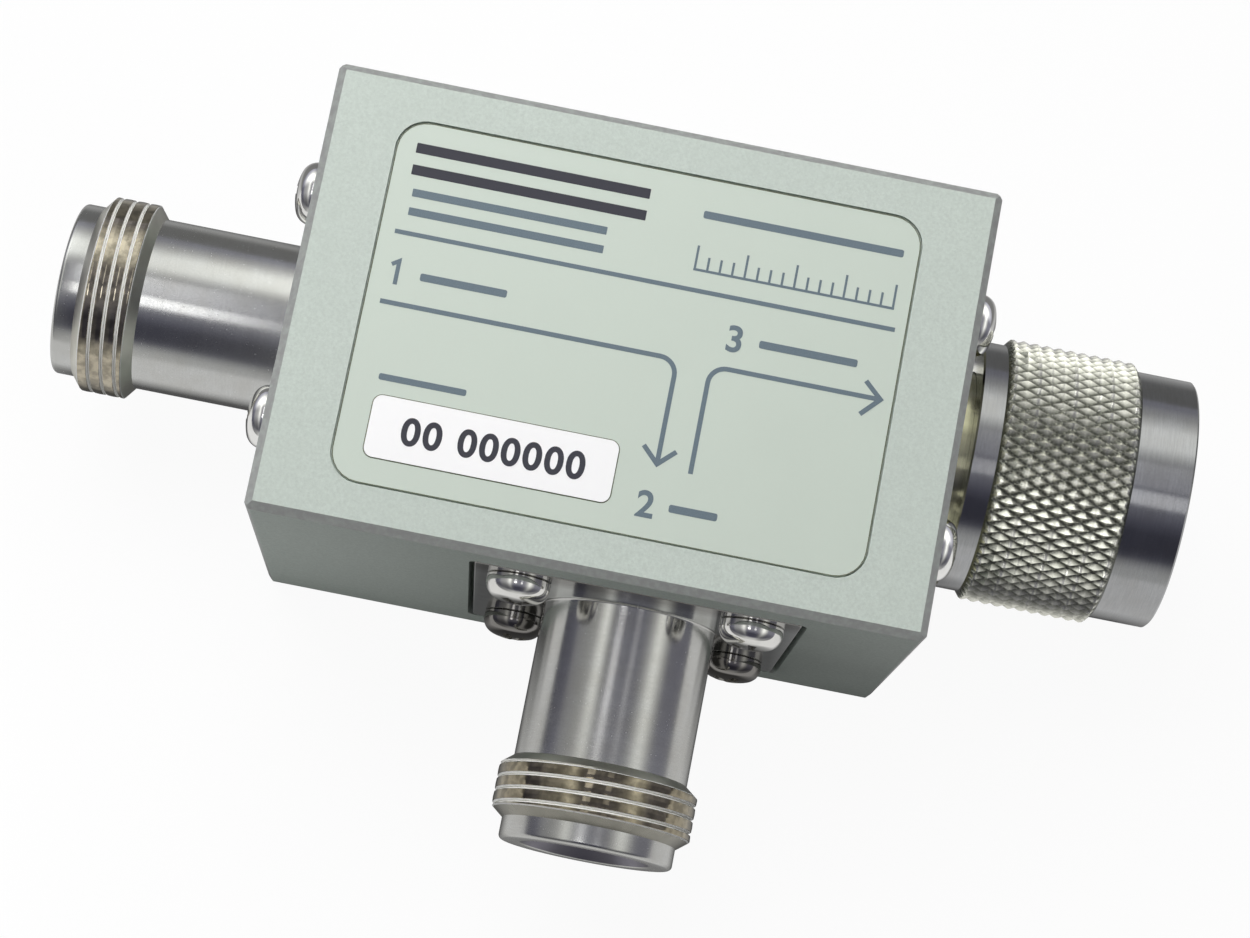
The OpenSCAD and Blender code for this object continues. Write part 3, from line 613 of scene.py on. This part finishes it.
def jack(name, node, metal, thread_metal, front_cone_metal, place):
    """Flange and threaded barrel of a jack, turned from one bar."""
    metals = [metal, cone_metal, thread_metal, bore_metal, front_cone_metal]
    plain, cone, crests, inner, front_cone = range(len(metals))
    rows = [(BARREL_R, -FLANGE_T + FLANGE_EDGE, plain), (BARREL_R, -FOOT_FILLET, plain)]
    foot_at = (BARREL_R + FOOT_FILLET, FOOT_FILLET)
    rows += [(r, u, plain) for r, u in arc(foot_at, FOOT_FILLET, 270, 180, 4)]
    rows.append((BARREL_R, TAPER_START, cone))
    steps = math.ceil((TAPER_END - TAPER_START) / THREAD_PITCH * THREAD_STEPS)
    for i in range(1, steps):
        u = TAPER_START + (TAPER_END - TAPER_START) * i / steps
        if u < CREST_START - THREAD_FINISH_MARGIN:
            part = cone
        else:
            part = crests if u < CREST_END + THREAD_FINISH_MARGIN else front_cone
        rows.append((None, u, part))
    rows.append((BARREL_R, TAPER_END, plain))
    edge_at = (BARREL_R - MOUTH_EDGE, BARREL_LEN - MOUTH_EDGE)
    rows += [(r, u, plain) for r, u in arc(edge_at, MOUTH_EDGE, 0, 90, 6)]
    lip_at = (MOUTH_R + MOUTH_LIP, BARREL_LEN - MOUTH_LIP)
    rows += [(r, u, plain) for r, u in arc(lip_at, MOUTH_LIP, 90, 180 - LIP_LEFT_DEG, 4)[:-1]]
    lip_end_r = MOUTH_R + MOUTH_LIP * (1 - math.cos(math.radians(LIP_LEFT_DEG)))
    rows += [
        (lip_end_r, BARREL_LEN - MOUTH_LIP * LIP_DROP, inner),
        (JACK_BORE_R, BARREL_LEN - MOUTH_DEPTH, inner),
        (JACK_BORE_R, JACK_SHOULDER, inner),
        (LINE_R, JACK_SHOULDER, inner),
        (LINE_R, -FLANGE_T + FLANGE_EDGE, plain),
    ]
    vertices, parts = lathe(rows, JACK_COLUMNS, thread_radius)
    faces = ring_faces(len(rows), JACK_COLUMNS, closed=True)
    barrel = new_object(name, vertices, faces, metals, parts, place, JACK_SHARP_DEG)
    join(barrel, flange_plate(name + "_plate", place))
    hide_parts(node)
    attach(barrel, "bridge")


# Flange screws, measured along their own axis from the flange's face

FLANGE_SCREW_LO, FLANGE_SCREW_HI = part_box("source_screws")
HEAD_H = (HOUSE_LO.x - FLANGE_SCREW_LO.x) / MM
SHANK_LEN = (FLANGE_SCREW_HI.x - HOUSE_LO.x) / MM
SHANK_R = 1.25
SHANK_CHAMFER = 0.2
HEAD_R = 2.5
HEAD_FOOT = 0.08
HEAD_CORNER_R = 1.3
HEAD_CROWN_R = 5.0
# The crown stops just short of the axis, where a small flat closes it
HEAD_CROWN_END_DEG = 89.5
# Half length and half width of each slot of the cross recess, at its bottom and at its top
SLOT_BOTTOM = (0.45, 0.26)
SLOT_TOP = (1.5, 0.36)
RECESS_DEPTH = 1.25
RECESS_CLEAR = 0.1
SCREW_TURNS_DEG = (20, 65, 40, 80)
SCREW_COLUMNS = 64


def slot_cutter(turn_deg):
    """Tapered slot of a cross recess, which ends a little above the head."""
    vertices = []
    ends = ((SLOT_BOTTOM, HEAD_H - RECESS_DEPTH), (SLOT_TOP, HEAD_H + RECESS_CLEAR))
    for (length, width), z in ends:
        vertices += [(x * length, y * width, z) for x, y in ((-1, -1), (1, -1), (1, 1), (-1, 1))]
    faces = [(3, 2, 1, 0), (4, 5, 6, 7)] + [(k, (k + 1) % 4, (k + 1) % 4 + 4, k + 4) for k in range(4)]
    place = Matrix.Rotation(math.radians(turn_deg), 4, "Z")
    return new_object("slot", vertices, faces, [recess_metal], place=place)


def screw_mesh(material):
    """One screw: a round pan head with a cross recess, and its shank."""
    crown_z = HEAD_H - HEAD_CROWN_R
    corner_x = HEAD_R - HEAD_CORNER_R
    corner_z = crown_z + math.sqrt((HEAD_CROWN_R - HEAD_CORNER_R) ** 2 - corner_x ** 2)
    meeting = math.degrees(math.atan2(corner_z - crown_z, corner_x))
    profile = [
        (SHANK_R - SHANK_CHAMFER, -SHANK_LEN),
        (SHANK_R, SHANK_CHAMFER - SHANK_LEN),
        (SHANK_R, 0),
        (HEAD_R - HEAD_FOOT, 0),
        (HEAD_R, HEAD_FOOT),
    ]
    profile += arc((corner_x, corner_z), HEAD_CORNER_R, 0, meeting, 12)
    profile += arc((0, crown_z), HEAD_CROWN_R, meeting, HEAD_CROWN_END_DEG, 8)[1:]
    vertices, _ = lathe([(r, z, 0) for r, z in profile], SCREW_COLUMNS)
    last = len(vertices) - SCREW_COLUMNS
    faces = ring_faces(len(profile), SCREW_COLUMNS, closed=False)
    faces += [tuple(range(SCREW_COLUMNS))[::-1], tuple(range(last, last + SCREW_COLUMNS))]
    head = new_object("head", vertices, faces, [material, recess_metal])
    cutters = [slot_cutter(turn) for turn in (0, 90)]
    for cutter in cutters:
        cut = head.modifiers.new("cut", "BOOLEAN")
        cut.operation = "DIFFERENCE"
        cut.solver = "EXACT"
        cut.material_mode = "TRANSFER"
        cut.object = cutter
    mesh = bpy.data.meshes.new_from_object(head.evaluated_get(bpy.context.evaluated_depsgraph_get()))
    mesh.set_sharp_from_angle(angle=math.radians(SHARP_DEG))
    for o in (head, *cutters):
        bpy.data.objects.remove(o)
    return mesh


def flange_screws(name, node, material, place):
    """The four screws of a flange, with their crosses turned differently."""
    pattern = screw_mesh(material)
    corners = [(x * SCREW_SPACING / 2 * MM, y * SCREW_SPACING / 2 * MM, 0) for y in (-1, 1) for x in (-1, 1)]
    screws = []
    for corner, turn_deg in zip(corners, SCREW_TURNS_DEG):
        mesh = pattern.copy()
        turn = Matrix.Rotation(math.radians(turn_deg), 4, "Z")
        mesh.transform(place @ Matrix.Translation(corner) @ turn)
        screws.append(linked_object(name, mesh))
    joined = join(*screws)
    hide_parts(node)
    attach(joined, "bridge")


# Coupling nut, measured along the coupler port's axis

NUT_START = (NUT_LO.x - HOUSE_HI.x) / MM
NUT_END = (NUT_HI.x - HOUSE_HI.x) / MM
NUT_R = 10.12
NUT_EDGE = 0.15
NUT_BORE_R = 7.56
NUT_SHARP_DEG = 28
RING_GROOVE_R = 8.2
RING_GROOVE = (4.05, 5.05)
NUT_LIP_END = 5.8
NUT_RELIEF_R = 8.3975
NUT_THREAD_R = 7.9975
NUT_THREAD = (9.0, NUT_END)
NUT_FUNNEL = 0.5
KNURL = (3.8, 14.6)
KNURL_BEVEL = 0.5
KNURL_CREST_R = (NUT_HI.z - PORT_Z) / MM
KNURL_DEPTH = 0.42
KNURL_COUNT = 64
KNURL_ROWS = 5
# Where a pyramid's blunt top ends, as a share of the way to its grooves, and how far the top bows
KNURL_FLAT = 0.08
KNURL_CROWN = 0.03
KNURL_COLUMNS = KNURL_COUNT * 8
KNURL_STEP = 0.15
# The rib of the inner thread, with steps of a turn
RIB_CREST_R = 7.42
RIB_STEPS = 96
RIB_RUN_OUT_STEPS = RIB_STEPS / 6
# Half its width at foot and crest, as shares of the pitch
RIB_FOOT_HALF = 0.46
RIB_CREST_HALF = 0.08
# How far the rib's foot and its run out reach into the wall
RIB_FOOT_IN = 0.05
RIB_END_IN = 0.03
RIB_SHARP_DEG = 20


def knurl_radius(u, turn):
    """Radius of the knurl: blunt pyramids between two sets of crossing grooves, cut back at both ends."""
    along = (u - KNURL[0] - KNURL_BEVEL) / (KNURL[1] - KNURL[0] - 2 * KNURL_BEVEL) * KNURL_ROWS
    around = turn * KNURL_COUNT
    off_crest = max(abs(v - round(v)) * 2 for v in (around + along, around - along))
    height = min((1 - off_crest) / (1 - KNURL_FLAT), 1.0)
    crest = KNURL_CREST_R - KNURL_CROWN * min(off_crest / KNURL_FLAT, 1.0) ** 2
    radius = crest - KNURL_DEPTH * (1 - height)
    from_end = min(u - KNURL[0], KNURL[1] - u)
    return min(radius, NUT_R + (KNURL_CREST_R - NUT_R) * min(from_end / KNURL_BEVEL, 1.0))


def thread_rib(name):
    """Helical rib of the nut's inner thread, which starts and ends in the wall."""
    turns = (NUT_THREAD[1] - NUT_FUNNEL - NUT_THREAD[0]) / THREAD_PITCH - 1
    count = int(turns * RIB_STEPS)
    foot_r = NUT_THREAD_R + RIB_FOOT_IN
    end_r = NUT_THREAD_R + RIB_END_IN
    vertices, faces = [], []
    for i in range(count + 1):
        angle = 2 * math.pi * i / RIB_STEPS
        middle = NUT_THREAD[0] + THREAD_PITCH * (i / RIB_STEPS + 0.5)
        rise = min(i, count - i, RIB_RUN_OUT_STEPS) / RIB_RUN_OUT_STEPS
        crest_r = end_r - (end_r - RIB_CREST_R) * rise
        section = (
            (foot_r, -RIB_FOOT_HALF),
            (crest_r, -RIB_CREST_HALF),
            (crest_r, RIB_CREST_HALF),
            (foot_r, RIB_FOOT_HALF),
        )
        for r, offset in section:
            vertices.append((r * math.cos(angle), r * math.sin(angle), middle + offset * THREAD_PITCH))
        if i:
            a, b = 4 * (i - 1), 4 * i
            faces += [(a + k, a + (k + 1) % 4, b + (k + 1) % 4, b + k) for k in range(4)]
    faces += [(3, 2, 1, 0), tuple(4 * count + k for k in range(4))]
    return new_object(name, vertices, faces, [bore_metal], place=AT_COUPLER, sharp_deg=RIB_SHARP_DEG)


def nut():
    """Coupling nut: turned ends, a diamond knurl and a thread inside."""
    metals = [nut_metal, knurl_metal, bore_metal]
    plain, knurled, inner = range(len(metals))
    rows = [
        (NUT_R - NUT_EDGE, NUT_START, plain),
        (NUT_R, NUT_START + NUT_EDGE, plain),
        (NUT_R, KNURL[0], knurled),
    ]
    steps = math.ceil((KNURL[1] - KNURL[0]) / KNURL_STEP)
    rows += [(None, KNURL[0] + (KNURL[1] - KNURL[0]) * i / steps, knurled) for i in range(1, steps)]
    rows += [
        (NUT_R, KNURL[1], plain),
        (NUT_R, NUT_END - NUT_EDGE, plain),
        (NUT_R - NUT_EDGE, NUT_END, plain),
        (NUT_THREAD_R + NUT_FUNNEL, NUT_END, inner),
        (NUT_THREAD_R, NUT_END - NUT_FUNNEL, inner),
        (NUT_THREAD_R, NUT_THREAD[0], inner),
        (NUT_RELIEF_R, NUT_THREAD[0] - (NUT_RELIEF_R - NUT_THREAD_R), inner),
        (NUT_RELIEF_R, NUT_LIP_END, inner),
        (NUT_BORE_R, NUT_LIP_END, inner),
        (NUT_BORE_R, RING_GROOVE[1], inner),
        (RING_GROOVE_R, RING_GROOVE[1], inner),
        (RING_GROOVE_R, RING_GROOVE[0], inner),
        (NUT_BORE_R, RING_GROOVE[0], inner),
        (NUT_BORE_R, NUT_START, plain),
    ]
    vertices, parts = lathe(rows, KNURL_COLUMNS, knurl_radius)
    faces = ring_faces(len(rows), KNURL_COLUMNS, closed=True)
    shell = new_object("knurled_nut", vertices, faces, metals, parts, AT_COUPLER, NUT_SHARP_DEG)
    join(shell, thread_rib("nut_thread"))
    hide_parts("coupling_nut")
    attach(shell, "coupling_nut")


# Label

LABEL_TOP = LABEL_HI.z / MM
STICKER_TOP = STICKER_HI.z / MM
INK_T = 0.02
# An arrow head lies this much higher than the line that it ends, so that the two don't share a surface
HEAD_RISE = 0.003
LINE_W = 0.37
# A mitred corner is at most the line's width divided by this
MITRE_SHARE = 0.4
# Height of a figure as a share of the font's size
FIGURE_SHARE = 0.7
# Shares of its height for the drawn figure one: the ends of its flag, the place of its stem and its line
ONE_FLAG_LOW = 0.76
ONE_FLAG_HIGH = 0.93
ONE_STEM = 0.26
ONE_LINE = 0.16
LINE_END_R = 0.02
STRIPE_END_R = 0.05


def print_on(name, outlines, material, level=LABEL_TOP):
    """Print as a thin film of ink on the label."""
    made = flat_plate(name, outlines, INK_T, 0.0, material, level)
    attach(made, "bridge")


def bar(x0, x1, y0, y1, r=0.15):
    outline = rounded_rect(x1 - x0, y1 - y0, r, 3)
    return [(x + (x0 + x1) / 2, y + (y0 + y1) / 2) for x, y in outline]


def stroke(points, width):
    """Outline of a line of one width through the points, with mitred corners and square ends."""
    left, right = [], []
    for i, here in enumerate(points):
        before = points[max(i - 1, 0)]
        after = points[min(i + 1, len(points) - 1)]
        a = (Vector(here) - Vector(before)).normalized() if i > 0 else None
        b = (Vector(after) - Vector(here)).normalized() if i < len(points) - 1 else None
        along = (a or b) + (b or a)
        along.normalize()
        across = Vector((-along.y, along.x))
        stretch = 1 / max(across.dot(Vector((-(a or b).y, (a or b).x))), MITRE_SHARE)
        left.append(tuple(Vector(here) + across * stretch * width / 2))
        right.append(tuple(Vector(here) - across * stretch * width / 2))
    return left + right[::-1]


def signal_path(name, start, corner, end, bend_r, barbs):
    """Line with one rounded corner and an arrow head, whose barbs end at two points."""
    a = (Vector(start) - Vector(corner)).normalized()
    b = (Vector(end) - Vector(corner)).normalized()
    centre = Vector(corner) + (a + b) * bend_r
    first = math.degrees(math.atan2(-b.y, -b.x))
    last = math.degrees(math.atan2(-a.y, -a.x))
    turn = (last - first + 180) % 360 - 180
    bend = arc(tuple(centre), bend_r, first, first + turn, 8)
    print_on(name, [stroke([start, *bend, end], LINE_W)], slate_ink)
    print_on(name + "_head", [stroke([barbs[0], end, barbs[1]], LINE_W)], slate_ink, LABEL_TOP + HEAD_RISE)


def numeral_one(name, x, y, height):
    """Plain figure one, with its flag, drawn as one stroke."""
    stem_x = x + ONE_STEM * height
    points = [(x, y + ONE_FLAG_LOW * height), (stem_x, y + ONE_FLAG_HIGH * height), (stem_x, y)]
    print_on(name, [stroke(points, ONE_LINE * height)], slate_ink)


def digits(name, text, x, y, height, material, level, bold, spacing=1.0):
    """Plain figures, with their lower left corner at x and y, as a thin film of ink."""
    curve = bpy.data.curves.new(name, "FONT")
    curve.body = text
    curve.size = height / FIGURE_SHARE * MM
    curve.offset = bold * MM
    curve.space_character = spacing
    curve.extrude = INK_T / 2 * MM
    place = Matrix.Translation((x * MM, y * MM, (level + INK_T / 2) * MM))
    made = linked_object(name, mesh_of(name, curve, material, place))
    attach(made, "bridge")


def frame_line(name, lo, hi, corner_r, outside, inside):
    """Thin line that follows the edge of a rounded plate, from outside its edge to inside it."""
    w, h = (hi.x - lo.x) / MM, (hi.y - lo.y) / MM
    x, y = (lo.x + hi.x) / 2 / MM, (lo.y + hi.y) / 2 / MM
    outlines = []
    for grow in (outside, -inside):
        outline = rounded_rect(w + 2 * grow, h + 2 * grow, corner_r + grow)
        outlines.append([(px + x, py + y) for px, py in outline])
    print_on(name, outlines, olive_edge_line)


# The plain scale at the label's upper right: its ticks run from the first to the last
SCALE_TICKS = 16
SCALE_LONG_EVERY = 4
SCALE_FIRST, SCALE_LAST = 3.7, 19.1
SCALE_BASE = 7.1
TICK_TOP, LONG_TICK_TOP = 8.1, 8.9
TICK_HALF = 0.09
PORT_NUMBER_H = 2.0
PORT_NUMBER_BOLD = 0.06


def scale_ticks():
    ticks = []
    for i in range(SCALE_TICKS + 1):
        x = SCALE_FIRST + i * (SCALE_LAST - SCALE_FIRST) / SCALE_TICKS
        top = LONG_TICK_TOP if i % SCALE_LONG_EVERY == 0 else TICK_TOP
        ticks.append(bar(x - TICK_HALF, x + TICK_HALF, SCALE_BASE, top, LINE_END_R))
    return ticks


def port_number(name, text, x, y):
    digits(name, text, x, y, PORT_NUMBER_H, slate_ink, LABEL_TOP, PORT_NUMBER_BOLD)


def label_print():
    """Stripes and bars in place of words, port numbers, a scale, two signal paths, an olive line round the
    sticker and a painted shadow line along the label's edge.
    """
    title = [bar(-18.9, -0.7, y, y + 0.8, STRIPE_END_R) for y in (10.0, 11.75)]
    subtitle = [bar(-18.5, -3.4, y, y + 0.62, STRIPE_END_R) for y in (6.8, 8.3)]
    print_on("title_stripes", title, dark_ink)
    print_on("subtitle_stripes", subtitle, slate_ink)
    print_on("rule", [bar(-19.2, 19.55, 5.2, 5.55, LINE_END_R)], slate_ink)
    print_on("upper_bar", [bar(3.6, 19.2, 11.1, 11.7)], slate_ink)
    print_on("scale_line", [bar(3.6, 19.2, 6.9, SCALE_BASE, LINE_END_R)], slate_ink)
    print_on("scale_ticks", scale_ticks(), slate_ink)
    signal_path("source_path", (-19.2, -0.2), (3.72, -0.2), (3.70, -8.45), 1.3, ((2.46, -7.2), (4.97, -7.25)))
    signal_path("coupler_path", (6.3, -8.7), (6.3, -0.2), (19.4, -0.2), 1.3, ((18.08, 1.02), (18.05, -1.61)))
    numeral_one("source_number", -18.9, 1.25, PORT_NUMBER_H)
    print_on("source_bar", [bar(-16.6, -9.9, 1.9, 2.5)], slate_ink)
    port_number("coupler_number", "3", 7.0, 1.25)
    print_on("coupler_bar", [bar(9.6, 17.2, 1.9, 2.5)], slate_ink)
    port_number("load_number", "2", 2.7, -12.6)
    print_on("load_bar", [bar(5.2, 8.9, -11.9, -11.3)], slate_ink)
    print_on("small_bar", [bar(-18.1, -11.4, -6.2, -5.7)], slate_ink)
    digits("sticker_number", "00 000000", -15.6, -10.75, 2.05, dark_ink, STICKER_TOP,
           bold=0.08, spacing=1.13)
    frame_line("sticker_frame", STICKER_LO, STICKER_HI, 0.7, 0.08, 0.01)
    # Painted shadow: a dark line along the label's edge, where the gap of its pocket lies in shade
    frame_line("label_gap_shadow", LABEL_LO, LABEL_HI, 2.3, 0.0, 0.07)


# Studio

CAMERA_PLACE = (-1.67, -58.61, 269.89)
CAMERA_TURN_DEG = (11.449, -2.98, 10.815)
CAMERA_LENS = 92.48
# Nearest and furthest that the camera sees, in metres
CAMERA_CLIP = (0.01, 10)
SENSOR_W = 36

WORLD_LEVEL = 0.15
SIDE_BLEND = 0.01
# The room is brighter in its two corners behind the part and dimmer in the two in front
CORNER_BEHIND = 2.0
CORNER_BEHIND_SPAN = (0.10, 0.35)
CORNER_IN_FRONT = 0.6
CORNER_IN_FRONT_SPAN = (-0.40, -0.15)

# The floor's half size, and its drop, which keeps it clear of the part
FLOOR_HALF = 3000
FLOOR_DROP = 0.05
FLOOR_WHITE = (0.9, 0.9, 0.9)
FLOOR_BOUNCE = (0.20, 0.205, 0.21)
FLOOR_GLOW_CAMERA = 0.94
FLOOR_MIRRORED = 0.80
# The mirrored floor is darker close to the part, a painted contact shadow, and behind it: start and end in
# metres, and the darkest level
FLOOR_NEAR_SHADOW = (0.0, 0.013, 0.12)
FLOOR_BEHIND = (-0.005, 0.045, 0.25)

# What bright metal sees of the room, as (degrees from straight up, level), first towards +Y, then towards +X
FRONT_TO_BACK = (
    (-90, 0.66), (-80, 0.60), (-72, 0.36), (-67, 0.10), (-60, 0.06), (-42, 0.06), (-33, 0.12),
    (-24, 0.22), (-18, 0.26), (0, 0.25), (20, 0.34), (30, 0.80), (38, 1.25), (56, 1.10), (62, 0.80),
    (72, 0.44), (84, 0.26), (90, 0.27),
)
SIDE_TO_SIDE = (
    (-90, 0.10), (-72, 0.18), (-66, 0.34), (-50, 0.42), (-42, 0.52), (-36, 0.90), (-31, 1.25),
    (-27, 0.95), (-22, 0.40), (-14, 0.22), (0, 0.16), (16, 0.20), (26, 0.34), (33, 0.62), (38, 1.00),
    (43, 1.20), (48, 0.95), (54, 0.55), (62, 0.24), (80, 0.22), (90, 0.25),
)

# Lamps as name, place, aim, size and power, in metres and watts
LAMPS = (
    ("key", (-0.08, 0.12, 0.26), (0, 0, 0.02), (0.20, 0.20), 0.69),
    ("left", (-0.40, -0.22, 0.16), (-0.03, 0, 0.02), (0.20, 0.15), 0.14),
    ("right", (0.24, 0.02, 0.22), (0, 0, 0.02), (0.12, 0.12), 0.08),
    ("low_left", (-0.065, -0.050, 0.012), (-0.02, -0.018, 0.017), (0.03, 0.02), 0.006),
)
# Lamps high up, aimed straight down, which the metal mirrors too, as name, x, y, size and power
MIRRORED_LAMPS = (
    ("over_source", -0.190, 0.188, (0.150, 0.411), 0.175),
    ("source_streak", -0.190, -0.188, (0.150, 0.240), 0.260),
    ("over_nut", 0.205, 0.188, (0.120, 0.411), 0.058),
    ("nut_streak", 0.205, -0.188, (0.120, 0.240), 0.075),
)
MIRRORED_LAMP_Z = 1.0


def camera():
    data = bpy.data.cameras.new("camera")
    data.lens = CAMERA_LENS
    data.sensor_fit = "HORIZONTAL"
    data.sensor_width = SENSOR_W
    data.clip_start, data.clip_end = CAMERA_CLIP
    made = linked_object("camera", data)
    made.location = Vector(CAMERA_PLACE) * MM
    made.rotation_euler = [math.radians(turn) for turn in CAMERA_TURN_DEG]
    bpy.context.scene.camera = made


def lamp(name, place, target, size, power, mirrored=False):
    data = bpy.data.lights.new(name, "AREA")
    data.shape = "RECTANGLE"
    data.size, data.size_y = size
    data.energy = power
    made = linked_object(name, data)
    made.location = place
    made.rotation_euler = (Vector(target) - Vector(place)).to_track_quat("-Z", "Y").to_euler()
    made.visible_camera = False
    made.visible_glossy = mirrored


def studio_tint(level):
    """Bright places are a little green and dark ones a little violet, as in the photograph."""
    share = min(level, 1.0)
    violet = max(0.0, 1 - level / 0.4)
    return (level * (0.95 + 0.05 * share), level * (0.95 + 0.06 * share), level * (0.98 + 0.40 * violet), 1)


def studio_profile(nodes, angle, stops):
    """Colour ramp over an angle between the two horizons."""
    ramp = nodes.node("ShaderNodeValToRGB", {"Fac": nodes.ramp(angle, -math.pi / 2, math.pi / 2)})
    elements = ramp.color_ramp.elements
    while len(elements) < len(stops):
        elements.new(0.5)
    for element, (degrees, level) in zip(elements, stops):
        element.position = (degrees + 90) / 180
        element.color = studio_tint(level)
    return ramp.outputs["Color"]


def world():
    """Dim grey room for light, soft boxes and dark cards for reflections, white for the camera."""
    made = bpy.data.worlds.new("room")
    bpy.context.scene.world = made
    made.use_nodes = True
    nodes = Nodes(made.node_tree)

    def background(colour, strength):
        return nodes.node("ShaderNodeBackground", {"Color": colour, "Strength": strength}).outputs[0]

    def choose(factor, a, b):
        return nodes.node("ShaderNodeMixShader", {0: factor, 1: a, 2: b}).outputs[0]

    x, y, z = nodes.split(nodes.node("ShaderNodeTexCoord").outputs["Generated"])
    front_back = studio_profile(nodes, nodes.math("ARCTAN2", y, z), FRONT_TO_BACK)
    side_side = studio_profile(nodes, nodes.math("ARCTAN2", x, z), SIDE_TO_SIDE)
    xx = nodes.math("MULTIPLY", x, x)
    spread = nodes.math("ADD", xx, nodes.math("MULTIPLY_ADD", y, y, SIDE_BLEND))
    seen = nodes.mix(nodes.math("DIVIDE", xx, spread), front_back, side_side)
    corner = nodes.math("MULTIPLY", nodes.math("ABSOLUTE", x), y)
    behind = nodes.ramp(corner, *CORNER_BEHIND_SPAN, 1.0, CORNER_BEHIND)
    in_front = nodes.ramp(corner, *CORNER_IN_FRONT_SPAN, CORNER_IN_FRONT, 1.0)
    strength = nodes.math("MULTIPLY", behind, in_front)
    path = nodes.node("ShaderNodeLightPath").outputs
    mirrored = nodes.math("MAXIMUM", path["Is Glossy Ray"], path["Is Transmission Ray"])
    room = choose(mirrored, background(rgba(WHITE), WORLD_LEVEL), background(seen, strength))
    shown = choose(path["Is Camera Ray"], room, background(rgba(WHITE), 1.0))
    nodes.feed(nodes.tree.nodes["World Output"].inputs[0], shown)


def clear_of_part(s):
    """Distance from a place on the floor to what stands or hangs over it, at most a metre."""
    nearest = 1.0
    for lo, hi in ((HOUSE_LO, HOUSE_HI), (SOURCE_LO, SOURCE_HI), (LOAD_LO, LOAD_HI), (NUT_LO, NUT_HI)):
        middle = ((lo.x + hi.x) / 2, (lo.y + hi.y) / 2, 0)
        half = ((hi.x - lo.x) / 2, (hi.y - lo.y) / 2, 0)
        steps = (
            ("SUBTRACT", {1: middle}),
            ("ABSOLUTE", {}),
            ("SUBTRACT", {1: half}),
            ("MAXIMUM", {1: (0, 0, 0)}),
        )
        away = s.position
        for operation, value in steps:
            away = s.node("ShaderNodeVectorMath", {0: away, **value}, operation=operation).outputs["Vector"]
        length = s.node("ShaderNodeVectorMath", {0: away}, operation="LENGTH").outputs["Value"]
        nearest = s.math("MINIMUM", length, nearest)
    return nearest


def floor():
    """Pale floor with the part's shadow: white to the camera, and dimmer where it only lights the part."""
    corners = [(x * FLOOR_HALF, y * FLOOR_HALF, 0) for x, y in ((-1, -1), (1, -1), (1, 1), (-1, 1))]
    made = new_object("floor", corners, [(0, 1, 2, 3)], [])
    made.location.z = -FLOOR_DROP * MM
    s = Shader("floor_paint")
    path = s.node("ShaderNodeLightPath").outputs
    glossy = path["Is Glossy Ray"]
    seen = s.math("MAXIMUM", path["Is Camera Ray"], glossy)
    seen = s.math("MAXIMUM", seen, path["Is Transmission Ray"])
    grain = s.ramp(s.noise(s.position, 4.0, detail=3.0), *NOISE_SPAN, 0.985, 1.0)
    pale = s.mix(seen, rgba(FLOOR_BOUNCE), rgba(FLOOR_WHITE))
    s.set(Base_Color=s.mix(grain, rgba((0, 0, 0)), pale), Roughness=0.9, Specular_IOR_Level=0.0)
    # The mirrored floor's level: dimmer behind the part, and a painted contact shadow close to it
    start, end, darkest = FLOOR_BEHIND
    behind = s.ramp(s.split(s.position)[1], start, end, 1.0, darkest)
    near = s.ramp(clear_of_part(s), *FLOOR_NEAR_SHADOW, 1.0)
    mirrored = s.math("MULTIPLY", s.math("MULTIPLY", behind, near), FLOOR_MIRRORED)
    level = s.math("ADD", s.math("MULTIPLY", glossy, mirrored), s.math("SUBTRACT", 1.0, glossy))
    glow = s.node("ShaderNodeEmission", {"Color": rgba(WHITE), "Strength": level}).outputs[0]
    direct = s.math("ADD", path["Is Camera Ray"], path["Is Transmission Ray"])
    share = s.math("ADD", s.math("MULTIPLY", direct, FLOOR_GLOW_CAMERA), glossy, clamp=True)
    mixed = s.node("ShaderNodeMixShader", {0: share, 1: s.bsdf.outputs[0], 2: glow}).outputs[0]
    s.feed(s.tree.nodes["Material Output"].inputs[0], mixed)
    made.data.materials.append(s.material)


def studio():
    camera()
    world()
    floor()
    for name, place, target, size, power in LAMPS:
        lamp(name, place, target, size, power)
    for name, x, y, size, power in MIRRORED_LAMPS:
        lamp(name, (x, y, MIRRORED_LAMP_Z), (x, y, 0), size, power, mirrored=True)
    bpy.context.scene.view_settings.view_transform = "Standard"


finish_cad_nodes()
jack("source_jack", "source_body", source_metal, source_thread_metal, cone_metal, AT_SOURCE)
jack("load_jack", "load_body", load_metal, load_thread_metal, dark_cone_metal, AT_LOAD)
flange_screws("source_pan_screws", "source_screws", screw_metal, AT_SOURCE)
flange_screws("load_pan_screws", "load_screws", load_screw_metal, AT_LOAD)
flange_screws("coupler_pan_screws", "coupler_screws", screw_metal, AT_COUPLER)
nut()
label_print()
studio()
